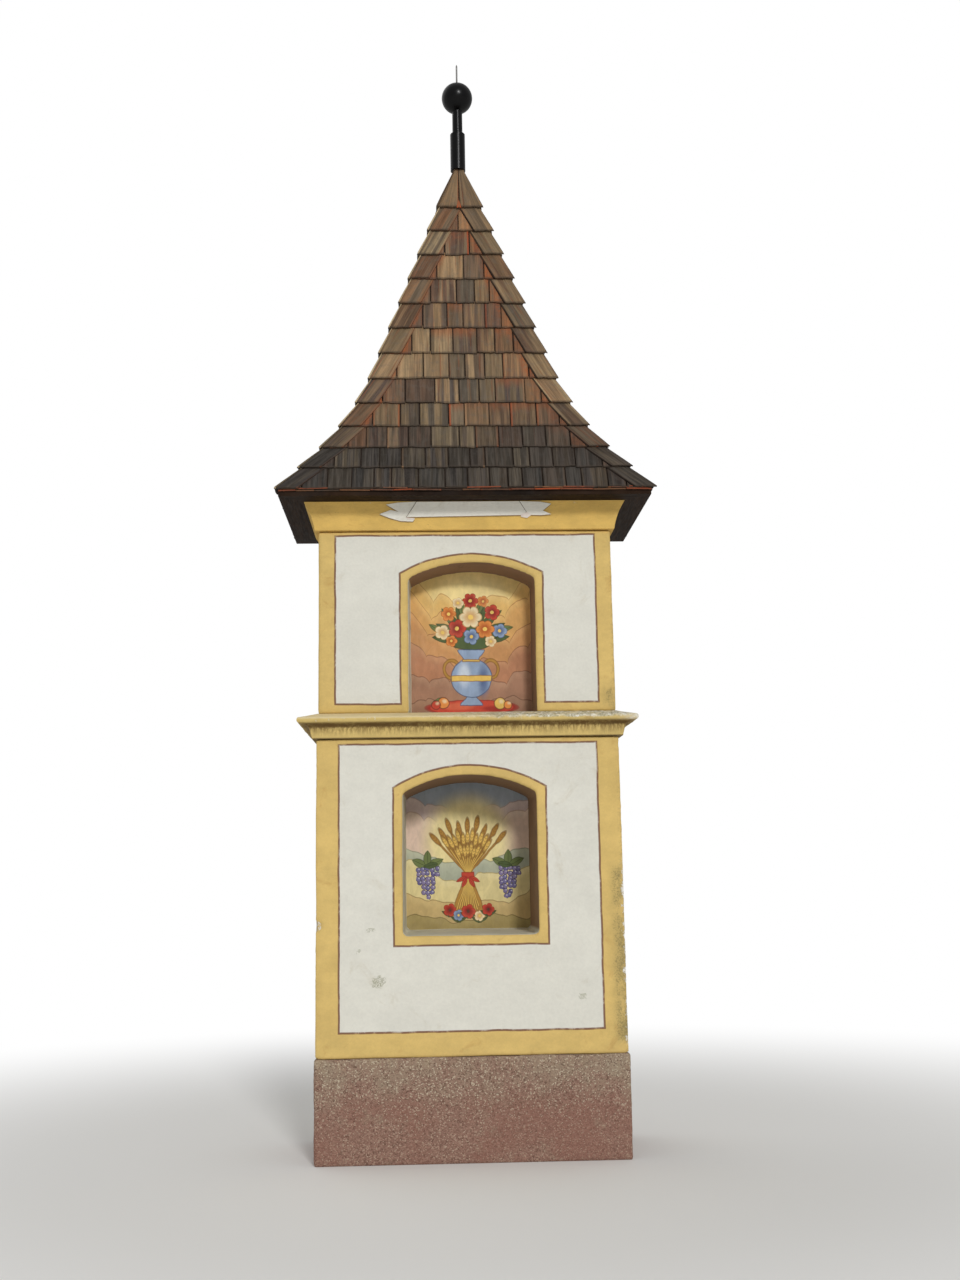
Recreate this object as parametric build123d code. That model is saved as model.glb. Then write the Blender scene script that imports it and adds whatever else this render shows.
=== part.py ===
from build123d import *
import math
import os

# Wayside shrine: a rendered masonry pillar of two storeys, each with an arched
# niche, under a steep bellcast roof of wooden shingles with a ball finial.
# Millimetres, +Z up, front towards -Y, origin at the middle of the underside.

# Lower storey
lower_width = 1320.0
lower_depth = 600.0
lower_height = 1348.0
lower_niche_width = 584.0
lower_niche_sill = 501.0
lower_niche_jamb = 609.0
lower_niche_rise = 78.0
lower_niche_depth = 420.0
lower_niche_splay = 8.0
lower_niche_shift = 3.0

# Plinth, which stands out a little on all four sides
plinth_step = 6.0
plinth_height = 430.0
plinth_arris = 5.0

# Upper storey, set back a little on all four sides
upper_setback = 7.5
upper_setback_front = 5.0
upper_height = 815.0
upper_niche_width = 563.0
upper_niche_jamb = 601.0
upper_niche_rise = 71.0
upper_niche_depth = 200.0
upper_niche_splay = 6.0
upper_niche_shift = 25.0

# Pictures at the back of the niches
picture_thickness = 12.0
picture_gap = 1.5

# Cornice between the storeys: a band, a cove, a rounded nose and a sloping top
mid_height = 112.0
mid_foot = 18.0
mid_band = 38.0
mid_band_lean = 8.0
mid_cove = 25.0
mid_cove_hollow = 9.0
mid_nose = 80.0
mid_nose_thickness = 28.0

# Cornice under the eaves: one hollow slope from a small foot to a top edge
top_height = 120.0
top_foot = 15.0
top_edge = 60.0
top_hollow = 5.0

# Eaves
soffit_thickness = 18.0
soffit_overhang = 164.0
starter_height = 16.0
starter_thickness = 16.0

# Roof deck: a straight rafter, then a flatter sprocket, joined by a tangent arc
eave_overhang = 150.0
eave_overhang_depth = 161.0
roof_height = 1716.0
roof_tip = 12.0
sprocket_run = 320.0
sprocket_rise = 366.0
bellcast_reach = 280.0

# Shingles
course_exposure_count = 12
cap_length = 231.0
shingle_butt = 15.0
shingle_head = 3.0
hip_width = 95.0
hip_butt = 8.0
hip_head = 3.0

# Finial
sleeve_diameter = 72.0
sleeve_height = 196.0
sleeve_lip = 6.0
tube_diameter = 49.0
tube_height = 116.0
ball_diameter = 150.0
spike_diameter = 8.0
spike_height = 103.0

# Widths, levels and half sizes that follow from the sizes above
plinth_width = lower_width + 2 * plinth_step
plinth_depth = lower_depth + 2 * plinth_step
upper_width = lower_width - 2 * upper_setback
upper_depth = lower_depth - 2 * upper_setback_front
lower_bottom = plinth_height
lower_top = lower_bottom + lower_height
upper_bottom = lower_top + mid_height
upper_top = upper_bottom + upper_height
soffit_level = upper_top + top_height
deck_bottom = soffit_level + soffit_thickness
eave_level = deck_bottom + starter_height
roof_top = eave_level + roof_height
deck_eave_x = upper_width / 2 + eave_overhang
deck_eave_y = upper_depth / 2 + eave_overhang_depth

nodes = {}


def block(x_low, x_high, y_low, y_high, z_low, z_high):
    box = Box(x_high - x_low, y_high - y_low, z_high - z_low, align=(Align.MIN, Align.MIN, Align.MIN))
    return Pos(x_low, y_low, z_low) * box


def arched_face(half_width, floor, springing, rise):
    # an opening with upright jambs and a segmental head, in its own x and z
    jambs = Polyline((-half_width, springing), (-half_width, floor), (half_width, floor), (half_width, springing))
    head = ThreePointArc((half_width, springing), (0, springing + rise), (-half_width, springing))
    return make_face(jambs + head)


def looking_back(x_centre, y):
    # a plane across the pillar whose normal points to the back and whose y axis points up
    return Plane(origin=(x_centre, y, 0), x_dir=(-1, 0, 0), z_dir=(0, 1, 0))


def niche_void(face_y, niche):
    # the niche narrows evenly towards its back wall
    outline = arched_face(niche["width"] / 2, niche["floor"], niche["springing"], niche["rise"])
    splay_angle = math.degrees(math.atan(niche["splay"] / niche["depth"]))
    return extrude(looking_back(niche["shift"], face_y) * outline, amount=niche["depth"], taper=splay_angle)


def picture_panel(face_y, niche):
    # a thin arched panel that stands against the back wall of the niche
    half_width = niche["width"] / 2 - niche["splay"] - picture_gap
    crown = niche["springing"] + niche["rise"] - niche["splay"] - picture_gap
    springing = niche["springing"] - niche["splay"]
    outline = arched_face(half_width, niche["panel_foot"], springing, crown - springing)
    panel_y = face_y + niche["depth"] - picture_thickness
    return extrude(looking_back(niche["shift"], panel_y) * outline, amount=picture_thickness)


def storey(name, width, depth, bottom, top, niche):
    # one storey of masonry, divided beside, below, behind and above its niche
    front = -depth / 2
    rear = depth / 2
    void = niche_void(front, niche)
    jamb_left = niche["shift"] - niche["width"] / 2 + niche["splay"]
    jamb_right = niche["shift"] + niche["width"] / 2 - niche["splay"]
    head_bottom = niche["springing"] - niche["splay"]
    wall_bottom = niche["panel_foot"]
    nodes[name + "_left_pier"] = block(-width / 2, jamb_left, front, rear, bottom, top) - void
    nodes[name + "_right_pier"] = block(jamb_right, width / 2, front, rear, bottom, top) - void
    if niche["floor"] > bottom:
        nodes[name + "_sill_block"] = block(jamb_left, jamb_right, front, rear, bottom, wall_bottom) - void
    nodes[name + "_back_wall"] = block(jamb_left, jamb_right, front + niche["depth"], rear, wall_bottom, head_bottom)
    nodes[name + "_arch_head"] = block(jamb_left, jamb_right, front, rear, head_bottom, top) - void
    nodes[name + "_picture"] = picture_panel(front, niche)


def moulded_slab(half_outline, half_x, half_y):
    # the same edge moulding run round all four sides, with mitred corners
    front_half = half_outline(half_x)
    side_half = half_outline(half_y)
    front_face = front_half + mirror(front_half, about=Plane.YZ)
    side_face = side_half + mirror(side_half, about=Plane.YZ)
    run = 2 * (half_x + half_y)
    across = extrude(Plane.XZ * front_face, amount=run, both=True)
    along = extrude(Plane.YZ * side_face, amount=run, both=True)
    return across & along


def mid_cornice_half(half):
    # right-hand half of the section, from the axis outwards
    foot = half + mid_foot
    band_top = lower_top + mid_band
    nose_low = band_top + mid_cove
    nose_high = nose_low + mid_nose_thickness
    lip = half + mid_nose - mid_nose_thickness / 2
    under = Polyline((0, lower_top), (foot, lower_top), (foot + mid_band_lean, band_top))
    cove_end = (lip, nose_low)
    cove_start = (foot + mid_band_lean, band_top)
    cove = SagittaArc(cove_start, cove_end, mid_cove_hollow)
    nose = ThreePointArc(cove_end, (half + mid_nose, (nose_low + nose_high) / 2), (lip, nose_high))
    over = Polyline((lip, nose_high), (half - upper_setback, upper_bottom), (0, upper_bottom), (0, lower_top))
    return make_face(under + cove + nose + over)


def top_cornice_half(half):
    foot = (half + top_foot, upper_top)
    edge = (half + top_edge, soffit_level)
    slope = SagittaArc(foot, edge, top_hollow)
    rest = Polyline(edge, (0, soffit_level), (0, upper_top), foot)
    return make_face(slope + rest)


def roof_stations():
    # deck half-width and level at each shingle line, from the eave to the tip
    kick = (deck_eave_x - sprocket_run, eave_level + sprocket_rise)
    rafter = Vector(*kick) - Vector(roof_tip, roof_top)
    sprocket = Vector(deck_eave_x, eave_level) - Vector(*kick)
    turn = math.radians(rafter.get_angle(sprocket))
    radius = bellcast_reach / math.tan(turn / 2)
    line = FilletPolyline((deck_eave_x, eave_level), kick, (roof_tip, roof_top), radius=radius)
    covered = line.length - cap_length
    spots = [covered * i / course_exposure_count for i in range(course_exposure_count + 1)]
    spots.append(line.length)
    points = [line.position_at(spot / line.length) for spot in spots]
    return [(point.X, point.Y) for point in points]


def deck_half_depth(half_width):
    # the sides rise with the front, so that the hips run straight from corner to tip in plan
    share = (half_width - roof_tip) / (deck_eave_x - roof_tip)
    return roof_tip + (deck_eave_y - roof_tip) * share


def lean_factor(low, high, level_gap):
    # horizontal width of one unit of thickness laid on a leaning face
    return math.hypot(low - high, level_gap) / level_gap


def section(points):
    # upright section, as wide to the left of the axis as to the right, from its foot upwards
    left = [(-half, level) for half, level in reversed(points)]
    return make_face(Polyline(*points, *left, points[0]))


def hipped_block(front_points, side_points):
    # flat-sided body over a rectangular plan: the front section and the side section where they cross
    run = 2 * (front_points[0][0] + side_points[0][0])
    across = extrude(Plane.XZ * section(front_points), amount=run, both=True)
    along = extrude(Plane.YZ * section(side_points), amount=run, both=True)
    return across & along


def course_edges(low, high):
    # plan half sizes of the deck under one course, and how far each millimetre of shingle stands out
    low_y = deck_half_depth(low[0])
    high_y = deck_half_depth(high[0])
    gap = high[1] - low[1]
    return low_y, high_y, lean_factor(low[0], high[0], gap), lean_factor(low_y, high_y, gap)


def leaning_ring(low, high, butt, head):
    # one course right round the roof: thick at its butt, thin at its head
    low_y, high_y, lean_x, lean_y = course_edges(low, high)
    outer = hipped_block([(low[0] + butt * lean_x, low[1]), (high[0] + head * lean_x, high[1])],
                         [(low_y + butt * lean_y, low[1]), (high_y + head * lean_y, high[1])])
    inner = hipped_block([(low[0], low[1]), (high[0], high[1])], [(low_y, low[1]), (high_y, high[1])])
    return outer - inner


def beyond(plane, low_edge, high_edge, low_level, high_level, run):
    # everything outside a leaning line in the given upright plane
    reach = low_edge + run
    outline = Polyline((low_edge, low_level), (reach, low_level), (reach, high_level), (high_edge, high_level),
                       (low_edge, low_level))
    return extrude(plane * make_face(outline), amount=run, both=True)


def hip_piece(low, high):
    # two boards that meet on the hip of one course, in the corner of positive x and y
    low_y, high_y, lean_x, lean_y = course_edges(low, high)
    under_x = (low[0] + shingle_butt * lean_x, high[0] + shingle_head * lean_x)
    under_y = (low_y + shingle_butt * lean_y, high_y + shingle_head * lean_y)
    over_x = (under_x[0] + hip_butt * lean_x, under_x[1] + hip_head * lean_x)
    over_y = (under_y[0] + hip_butt * lean_y, under_y[1] + hip_head * lean_y)
    outer = hipped_block([(over_x[0], low[1]), (over_x[1], high[1])], [(over_y[0], low[1]), (over_y[1], high[1])])
    inner = hipped_block([(under_x[0], low[1]), (under_x[1], high[1])],
                         [(under_y[0], low[1]), (under_y[1], high[1])])
    arm_x = min(hip_width, under_x[1])
    arm_y = min(hip_width, under_y[1])
    run = 2 * (low[0] + low_y)
    right_end = beyond(Plane.XZ, under_x[0] - arm_x, under_x[1] - arm_x, low[1], high[1], run)
    back_end = beyond(Plane.YZ, under_y[0] - arm_y, under_y[1] - arm_y, low[1], high[1], run)
    return (outer - inner) & right_end & back_end


def build_plinth():
    body = block(-plinth_width / 2, plinth_width / 2, -plinth_depth / 2, plinth_depth / 2, 0, plinth_height)
    rim = body.edges().group_by(Axis.Z)[-1]
    nodes["base_plinth"] = chamfer(rim, length=plinth_arris)


def build_storeys():
    lower_sill = lower_bottom + lower_niche_sill
    storey("lower", lower_width, lower_depth, lower_bottom, lower_top, {
        "width": lower_niche_width, "floor": lower_sill, "panel_foot": lower_sill + lower_niche_splay,
        "springing": lower_sill + lower_niche_jamb, "rise": lower_niche_rise,
        "depth": lower_niche_depth, "splay": lower_niche_splay, "shift": lower_niche_shift})
    storey("upper", upper_width, upper_depth, upper_bottom, upper_top, {
        "width": upper_niche_width, "floor": upper_bottom - upper_niche_splay, "panel_foot": upper_bottom,
        "springing": upper_bottom + upper_niche_jamb, "rise": upper_niche_rise,
        "depth": upper_niche_depth, "splay": upper_niche_splay, "shift": upper_niche_shift})


def build_cornices():
    nodes["mid_cornice"] = moulded_slab(mid_cornice_half, lower_width / 2, lower_depth / 2)
    nodes["top_cornice"] = moulded_slab(top_cornice_half, upper_width / 2, upper_depth / 2)


def build_eaves():
    # four mitred soffit boards round a timber plate that lies on the masonry
    out_x = upper_width / 2 + soffit_overhang
    out_y = upper_depth / 2 + soffit_overhang
    in_x = upper_width / 2 + top_edge
    in_y = upper_depth / 2 + top_edge
    sides = {
        "front": [(-out_x, -out_y), (out_x, -out_y), (in_x, -in_y), (-in_x, -in_y)],
        "back": [(out_x, out_y), (-out_x, out_y), (-in_x, in_y), (in_x, in_y)],
        "left": [(-out_x, out_y), (-out_x, -out_y), (-in_x, -in_y), (-in_x, in_y)],
        "right": [(out_x, -out_y), (out_x, out_y), (in_x, in_y), (in_x, -in_y)]}
    for side, corners in sides.items():
        board = make_face(Polyline(*corners, corners[0]))
        nodes["soffit_" + side] = extrude(Pos(0, 0, soffit_level) * board, amount=soffit_thickness, dir=(0, 0, 1))
    nodes["wall_plate"] = block(-in_x, in_x, -in_y, in_y, soffit_level, deck_bottom)
    wide_x = deck_eave_x + starter_thickness
    wide_y = deck_eave_y + starter_thickness
    ring = block(-wide_x, wide_x, -wide_y, wide_y, deck_bottom, eave_level)
    nodes["starter_course"] = ring - block(-deck_eave_x, deck_eave_x, -deck_eave_y, deck_eave_y, deck_bottom, eave_level)


def build_roof():
    stations = roof_stations()
    edge = [(deck_eave_x, deck_bottom)]
    side_stations = [(deck_half_depth(half), level) for half, level in edge + stations]
    nodes["roof_deck"] = hipped_block(edge + stations, side_stations)
    hip_pieces = []
    pairs = list(zip(stations, stations[1:]))
    for number, (low, high) in enumerate(pairs, start=1):
        if number <= course_exposure_count:
            nodes[f"shingle_course_{number:02d}"] = leaning_ring(low, high, shingle_butt, shingle_head)
            hip_pieces.append(hip_piece(low, high))
        else:
            nodes["roof_cap"] = leaning_ring(low, high, shingle_butt + hip_butt, shingle_head + hip_head)
    corner = Compound([piece.solid() for piece in hip_pieces])
    nodes["hip_back_right"] = corner
    nodes["hip_back_left"] = mirror(corner, about=Plane.YZ)
    nodes["hip_front_right"] = mirror(corner, about=Plane.XZ)
    nodes["hip_front_left"] = mirror(mirror(corner, about=Plane.XZ), about=Plane.YZ)


def build_finial():
    sleeve_r = sleeve_diameter / 2
    tube_r = tube_diameter / 2
    ball_r = ball_diameter / 2
    spike_r = spike_diameter / 2
    sleeve_top = roof_top + sleeve_height
    tube_top = sleeve_top + tube_height
    ball_centre = tube_top + math.sqrt(ball_r ** 2 - tube_r ** 2)
    ball_top = ball_centre + math.sqrt(ball_r ** 2 - spike_r ** 2)
    sleeve_side = Polyline((0, roof_top), (sleeve_r, roof_top), (sleeve_r, sleeve_top - sleeve_lip),
                           (sleeve_r - sleeve_lip, sleeve_top), (0, sleeve_top), (0, roof_top))
    nodes["finial_sleeve"] = revolve(Plane.XZ * make_face(sleeve_side), axis=Axis.Z)
    # the ball and the tube that it stands on are one turned piece
    tube_side = Polyline((0, ball_top), (0, sleeve_top), (tube_r, sleeve_top), (tube_r, tube_top))
    ball_side = ThreePointArc((tube_r, tube_top), (ball_r, ball_centre), (spike_r, ball_top))
    spike_seat = Line((spike_r, ball_top), (0, ball_top))
    nodes["finial_ball"] = revolve(Plane.XZ * make_face(tube_side + ball_side + spike_seat), axis=Axis.Z)
    spike_top = ball_top + spike_height
    spike_side = Polyline((0, ball_top), (spike_r, ball_top), (spike_r, spike_top - spike_diameter),
                          (spike_r / 2, spike_top), (0, spike_top), (0, ball_top))
    nodes["finial_spike"] = revolve(Plane.XZ * make_face(spike_side), axis=Axis.Z)


build_plinth()
build_storeys()
build_cornices()
build_eaves()
build_roof()
build_finial()

os.makedirs("parts", exist_ok=True)
for node, shape in nodes.items():
    export_step(shape, f"parts/{node}.step")
    print(node, round(sum(abs(solid.volume) for solid in shape.solids()) / 1e9, 5), "m3")
highest = max(shape.bounding_box().max.Z for shape in nodes.values())
print(len(nodes), "nodes, total height", round(highest, 1), "mm")
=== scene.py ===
import bpy
import bmesh
import math
import random
from mathutils import Matrix, Vector, noise


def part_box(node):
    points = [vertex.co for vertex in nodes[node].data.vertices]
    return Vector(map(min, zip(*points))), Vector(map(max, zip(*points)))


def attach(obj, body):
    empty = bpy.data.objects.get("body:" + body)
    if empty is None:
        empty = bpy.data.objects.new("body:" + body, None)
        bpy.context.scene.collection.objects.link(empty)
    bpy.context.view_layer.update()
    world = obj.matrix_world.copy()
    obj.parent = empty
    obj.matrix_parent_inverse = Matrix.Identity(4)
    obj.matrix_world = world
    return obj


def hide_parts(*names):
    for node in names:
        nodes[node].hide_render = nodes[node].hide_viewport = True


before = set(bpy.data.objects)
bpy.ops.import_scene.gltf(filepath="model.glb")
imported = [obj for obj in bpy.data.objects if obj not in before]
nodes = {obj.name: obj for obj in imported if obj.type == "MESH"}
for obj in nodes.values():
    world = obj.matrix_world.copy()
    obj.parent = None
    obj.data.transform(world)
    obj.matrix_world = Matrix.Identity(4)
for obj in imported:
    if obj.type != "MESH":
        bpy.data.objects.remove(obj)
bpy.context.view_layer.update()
scene = bpy.context.scene


# small helpers for modelling by hand in code

def onlySelect(*pieces):
    bpy.ops.object.select_all(action="DESELECT")
    for piece in pieces:
        piece.select_set(True)
    bpy.context.view_layer.objects.active = pieces[0]


def startEdit(piece, kind="VERT", action="DESELECT"):
    onlySelect(piece)
    bpy.ops.object.mode_set(mode="EDIT")
    bpy.ops.mesh.select_mode(type=kind)
    bpy.ops.mesh.select_all(action=action)


def endEdit():
    bpy.ops.object.mode_set(mode="OBJECT")


def pickEdges(piece, test):
    mesh = bmesh.from_edit_mesh(piece.data)
    for edge in mesh.edges:
        edge.select_set(test(edge.verts[0].co, edge.verts[1].co))
    bmesh.update_edit_mesh(piece.data)


def addShape(name, addPrimitive, stretched=(1, 1, 1), **settings):
    # a primitive whose place, turn and size go into its mesh
    bpy.ops.object.select_all(action="DESELECT")
    addPrimitive(**settings)
    shape = bpy.context.object
    shape.scale = stretched
    bpy.ops.object.transform_apply(location=True, rotation=True, scale=True)
    shape.name = name
    return shape


def addBox(name, low, high):
    low, high = Vector(low), Vector(high)
    return addShape(name, bpy.ops.mesh.primitive_cube_add, high - low, size=1, location=(low + high) / 2)


def boxOf(*names):
    # lowest and highest corners of some nodes of the frame
    lows, highs = zip(*(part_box(name) for name in names))
    return [min(values) for values in zip(*lows)], [max(values) for values in zip(*highs)]


def useModifier(piece, kind, **settings):
    onlySelect(piece)
    bpy.ops.object.modifier_add(type=kind)
    modifier = piece.modifiers[-1]
    for key, value in settings.items():
        setattr(modifier, key, value)
    bpy.ops.object.modifier_apply(modifier=modifier.name)


def cutWith(piece, cutter, operation="DIFFERENCE"):
    useModifier(piece, "BOOLEAN", object=cutter, operation=operation, solver="EXACT")
    bpy.data.objects.remove(cutter)


def pushBy(piece, name, size, depth, strength, group=""):
    # pushes the surface in and out by a cloudy texture
    texture = bpy.data.textures.new(name, "CLOUDS")
    texture.noise_scale = size
    texture.noise_depth = depth
    useModifier(piece, "DISPLACE", texture=texture, strength=strength, mid_level=0.5,
                texture_coords="LOCAL", vertex_group=group)


def weigh(piece, name, weightAt):
    # a vertex group whose weights follow the place
    group = piece.vertex_groups.new(name=name)
    for vertex in piece.data.vertices:
        group.add([vertex.index], weightAt(vertex.co), "REPLACE")


def turnOutwards(piece):
    startEdit(piece, action="SELECT")
    bpy.ops.mesh.normals_make_consistent(inside=False)
    endEdit()


def joinPieces(name, pieces):
    onlySelect(*pieces)
    bpy.ops.object.join()
    joined = bpy.context.object
    joined.name = name
    joined.data.name = name
    return joined


def smoothPiece(piece, degrees):
    onlySelect(piece)
    bpy.ops.object.shade_smooth_by_angle(angle=math.radians(degrees))


def giveMaterial(piece, material):
    piece.data.materials.clear()
    piece.data.materials.append(material)


def hand(piece, material, slot, *replaced):
    giveMaterial(piece, material)
    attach(piece, "root")
    if replaced:
        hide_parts(*replaced)


# small helpers for materials: nodes go into the tree that is being drawn

drawing = {}
socketKinds = {"Place": "Vector", "Colour": "Color", "Stain": "Color"}


class Value:
    # a socket of the tree being drawn, so that sums of sockets read as sums
    def __init__(self, socket):
        self.socket = socket

    def __abs__(self):
        return calc("ABSOLUTE", self)

    def __lt__(self, other):
        return calc("LESS_THAN", self, other)

    def __gt__(self, other):
        return calc("GREATER_THAN", self, other)


for name, operation in (("add", "ADD"), ("sub", "SUBTRACT"), ("mul", "MULTIPLY"), ("truediv", "DIVIDE"),
                        ("pow", "POWER")):
    setattr(Value, f"__{name}__", lambda one, other, operation=operation: calc(operation, one, other))
    setattr(Value, f"__r{name}__", lambda one, other, operation=operation: calc(operation, other, one))


def paint(*screen):
    # a colour as it looks on screen, 0 to 255, turned into the colour the shader wants
    shares = [part / 255 for part in screen]
    return (*(s / 12.92 if s < 0.04 else ((s + 0.055) / 1.055) ** 2.4 for s in shares), 1)


def feed(socket, value):
    # colours are given as they look on screen
    if isinstance(value, Value):
        drawing["tree"].links.new(value.socket, socket)
    elif value is not None:
        socket.default_value = paint(*value) if socket.type == "RGBA" else value


def addNode(kind, inputs=(), **settings):
    node = drawing["tree"].nodes.new("ShaderNode" + kind)
    for key, setting in settings.items():
        setattr(node, key, setting)
    for key, value in inputs.items() if isinstance(inputs, dict) else enumerate(inputs):
        feed(node.inputs[key], value)
    return node


def outputsOf(node):
    return {output.name: Value(output) for output in node.outputs}


def calc(operation, *values):
    return Value(addNode("Math", values, operation=operation).outputs[0])


def most(first, *others):
    for other in others:
        first = calc("MAXIMUM", first, other)
    return first


def lengthOf(x, y):
    return calc("SQRT", x * x + y * y)


def fade(value, low, high, start=0, end=1):
    node = addNode("MapRange", (value, low, high, start, end), interpolation_type="SMOOTHSTEP")
    return Value(node.outputs[0])


def blend(amount, first, second, mode="MIX"):
    node = addNode("Mix", {0: amount, 6: first, 7: second}, data_type="RGBA", blend_type=mode)
    return Value(node.outputs[2])


def coat(colour, *layers):
    # lays colours over the first one, each of them where its mask says
    for mask, over in layers:
        colour = blend(mask, colour, over)
    return colour


def shade(colour, light):
    return blend(1, colour, together(light, light, light), "MULTIPLY")


def stretch(vector, scale, shift=(0, 0, 0)):
    return Value(addNode("Mapping", {"Vector": vector, "Scale": scale, "Location": shift}).outputs[0])


def cloud(vector, scale, detail=3, roughness=0.55, distortion=0, output="Fac"):
    inputs = {"Vector": vector, "Scale": scale, "Detail": detail, "Roughness": roughness,
              "Distortion": distortion}
    return outputsOf(addNode("TexNoise", inputs))[output]


def cells(vector, scale, randomness=1, **settings):
    inputs = {"Vector": vector, "Scale": scale, "Randomness": randomness}
    return outputsOf(addNode("TexVoronoi", inputs, **settings))


def colourRun(value, *stops):
    node = addNode("ValToRGB", (value,))
    run = node.color_ramp.elements
    while len(run) < len(stops):
        run.new(0.5)
    for element, (place, colour) in zip(run, stops):
        element.position = place
        element.color = paint(*colour)
    return Value(node.outputs[0])


def apart(vector):
    return [Value(output) for output in addNode("SeparateXYZ", (vector,)).outputs]


def together(x, y, z):
    return Value(addNode("CombineXYZ", (x, y, z)).outputs[0])


def addSockets(labels, direction):
    for label in labels:
        kind = "NodeSocket" + socketKinds.get(label, "Float")
        drawing["tree"].interface.new_socket(name=label, in_out=direction, socket_type=kind)


def nodeGroup(labels):
    # turns a function into a shader node group: the labels are its inputs, what it returns its outputs
    labels = labels.split()

    def makeGroup(draw):
        tree = drawing["tree"] = bpy.data.node_groups.new(draw.__name__, "ShaderNodeTree")
        addSockets(labels, "INPUT")
        given = tree.nodes.new("NodeGroupInput").outputs
        returned = draw(*(Value(given[label]) for label in labels))
        addSockets(returned, "OUTPUT")
        out = tree.nodes.new("NodeGroupOutput").inputs
        for label, value in returned.items():
            feed(out[label], value)
        return lambda *values: outputsOf(addNode("Group", values, node_tree=tree))

    return makeGroup


def newMaterial(name):
    # starts a material and gives the place on the object
    material = bpy.data.materials.new(name)
    material.use_nodes = True
    drawing.update(material=material, tree=material.node_tree)
    return outputsOf(addNode("TexCoord"))["Object"]


def finish(colour, roughness, specular=0.5, height=None, distance=0, strength=1, metallic=0):
    # joins the last colour, roughness and relief to the material's own shader
    shader = drawing["tree"].nodes["Principled BSDF"].inputs
    normal = None
    if height is not None:
        bump = addNode("Bump", {"Height": height, "Distance": distance, "Strength": strength})
        normal = Value(bump.outputs[0])
    for label, value in {"Base Color": colour, "Roughness": roughness, "Specular IOR Level": specular,
                         "Metallic": metallic, "Normal": normal}.items():
        feed(shader[label], value)
    return drawing["material"]


# camera, floor and lamps

viewOfShrine = {
    "place": (-0.1852, -6.5446, 1.1911), "up": 9.237, "right": 2.241, "tilt": -0.918, "lens": 40.36,
    "sensor": 36}
studio = {
    "worldLight": 0.47, "floorSize": 60, "floorColour": (235, 234, 231), "white": (1.6, 5.5),
    "lamps": {"keyLamp": (1.58, (68, 0, 12), 9), "fillLamp": (0.3, (58, 0, -130), 60)}}


def addObject(name, data):
    made = bpy.data.objects.new(name, data)
    scene.collection.objects.link(made)
    return made


def setCamera():
    camera = addObject("viewCamera", bpy.data.cameras.new("viewCamera"))
    place = Matrix.Translation(viewOfShrine["place"])
    for degrees, axis in ((-viewOfShrine["right"], "Z"), (90 + viewOfShrine["up"], "X"),
                          (viewOfShrine["tilt"], "Z")):
        place = place @ Matrix.Rotation(math.radians(degrees), 4, axis)
    camera.matrix_world = place
    camera.data.sensor_fit = "VERTICAL"
    camera.data.sensor_height = viewOfShrine["sensor"]
    camera.data.lens = viewOfShrine["lens"]
    scene.camera = camera


def seenByCamera():
    return outputsOf(addNode("LightPath"))["Is Camera Ray"]


def floorMaterial():
    # pale round the shrine, and plain white for the camera further out
    place = newMaterial("paleFloor")
    distance = outputsOf(addNode("VectorMath", (place,), operation="LENGTH"))["Value"]
    material = finish(studio["floorColour"], 0.9)
    surface = Value(drawing["tree"].nodes["Principled BSDF"].outputs[0])
    white = Value(addNode("Emission").outputs[0])
    far = fade(distance, *studio["white"]) * seenByCamera()
    mixer = addNode("MixShader", (far, surface, white))
    feed(drawing["tree"].nodes["Material Output"].inputs[0], Value(mixer.outputs[0]))
    return material


def setStudio():
    floor = addShape("studioFloor", bpy.ops.mesh.primitive_circle_add, vertices=96,
                     radius=studio["floorSize"], fill_type="NGON")
    giveMaterial(floor, floorMaterial())
    scene.world = bpy.data.worlds.new("studioWorld")
    scene.world.use_nodes = True
    drawing["tree"] = scene.world.node_tree
    background = drawing["tree"].nodes["Background"].inputs
    feed(background[0], (255, 255, 255))
    feed(background[1], fade(seenByCamera(), 0, 1, studio["worldLight"], 1))
    for name, (strength, turn, angle) in studio["lamps"].items():
        lamp = addObject(name, bpy.data.lights.new(name, "SUN"))
        lamp.data.energy = strength
        lamp.data.angle = math.radians(angle)
        lamp.rotation_euler = [math.radians(degrees) for degrees in turn]
    scene.view_settings.view_transform = "Standard"


setCamera()
setStudio()
print("camera and studio set")


# effects that several finishes share

@nodeGroup("Place Colour Stain Mottle Stains")
def limewash(place, colour, stain, mottle, stains):
    # mottled lime paint laid on with a wide brush
    middle = cloud(stretch(place, (7, 7, 11)), 1, 4, 0.65)
    fine = cloud(place, 85, 3, 0.6)
    tone = cloud(place, 2.3, 4, 0.6, 0.6) * 0.5 + middle * 0.5
    light = fade(tone, 0.3, 0.7, -0.13, 0.1) * mottle + fade(fine, 0.25, 0.75, -0.03, 0.03) + 1
    spots = fade(cloud(place, 5, 6, 0.7, 1.2), 0.56, 0.74) * stains
    trowel = cloud(stretch(place, (16, 16, 22)), 1, 3, 0.5)
    grit = cloud(place, 330, 2, 0.6)
    return {"Colour": blend(spots, shade(colour, light), stain),
            "Height": trowel * 0.75 + grit * 0.14 + fine * 0.2,
            "Roughness": fade(middle, 0.3, 0.7, 0.78, 0.93)}


@nodeGroup("Place Top Length Density")
def weather(place, top, length, density):
    # dirt that runs down from an edge, lichen dots and small chips
    runs = fade(cloud(stretch(place, (26, 26, 3)), 1, 5, 0.75), 0.42, 0.72)
    fall = fade((top - apart(place)[2]) / length, 1, 0)
    dots = fade(cloud(place, 7, 4, 0.7), 0.45, 0.75, 0, 0.42) - cells(place, 95)["Distance"]
    return {"Streaks": runs * fall * density, "Lichen": fade(dots, 0, 0.08) * density,
            "Chips": fade(cloud(place, 34, 5, 0.7), 0.6, 0.64)}


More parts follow.
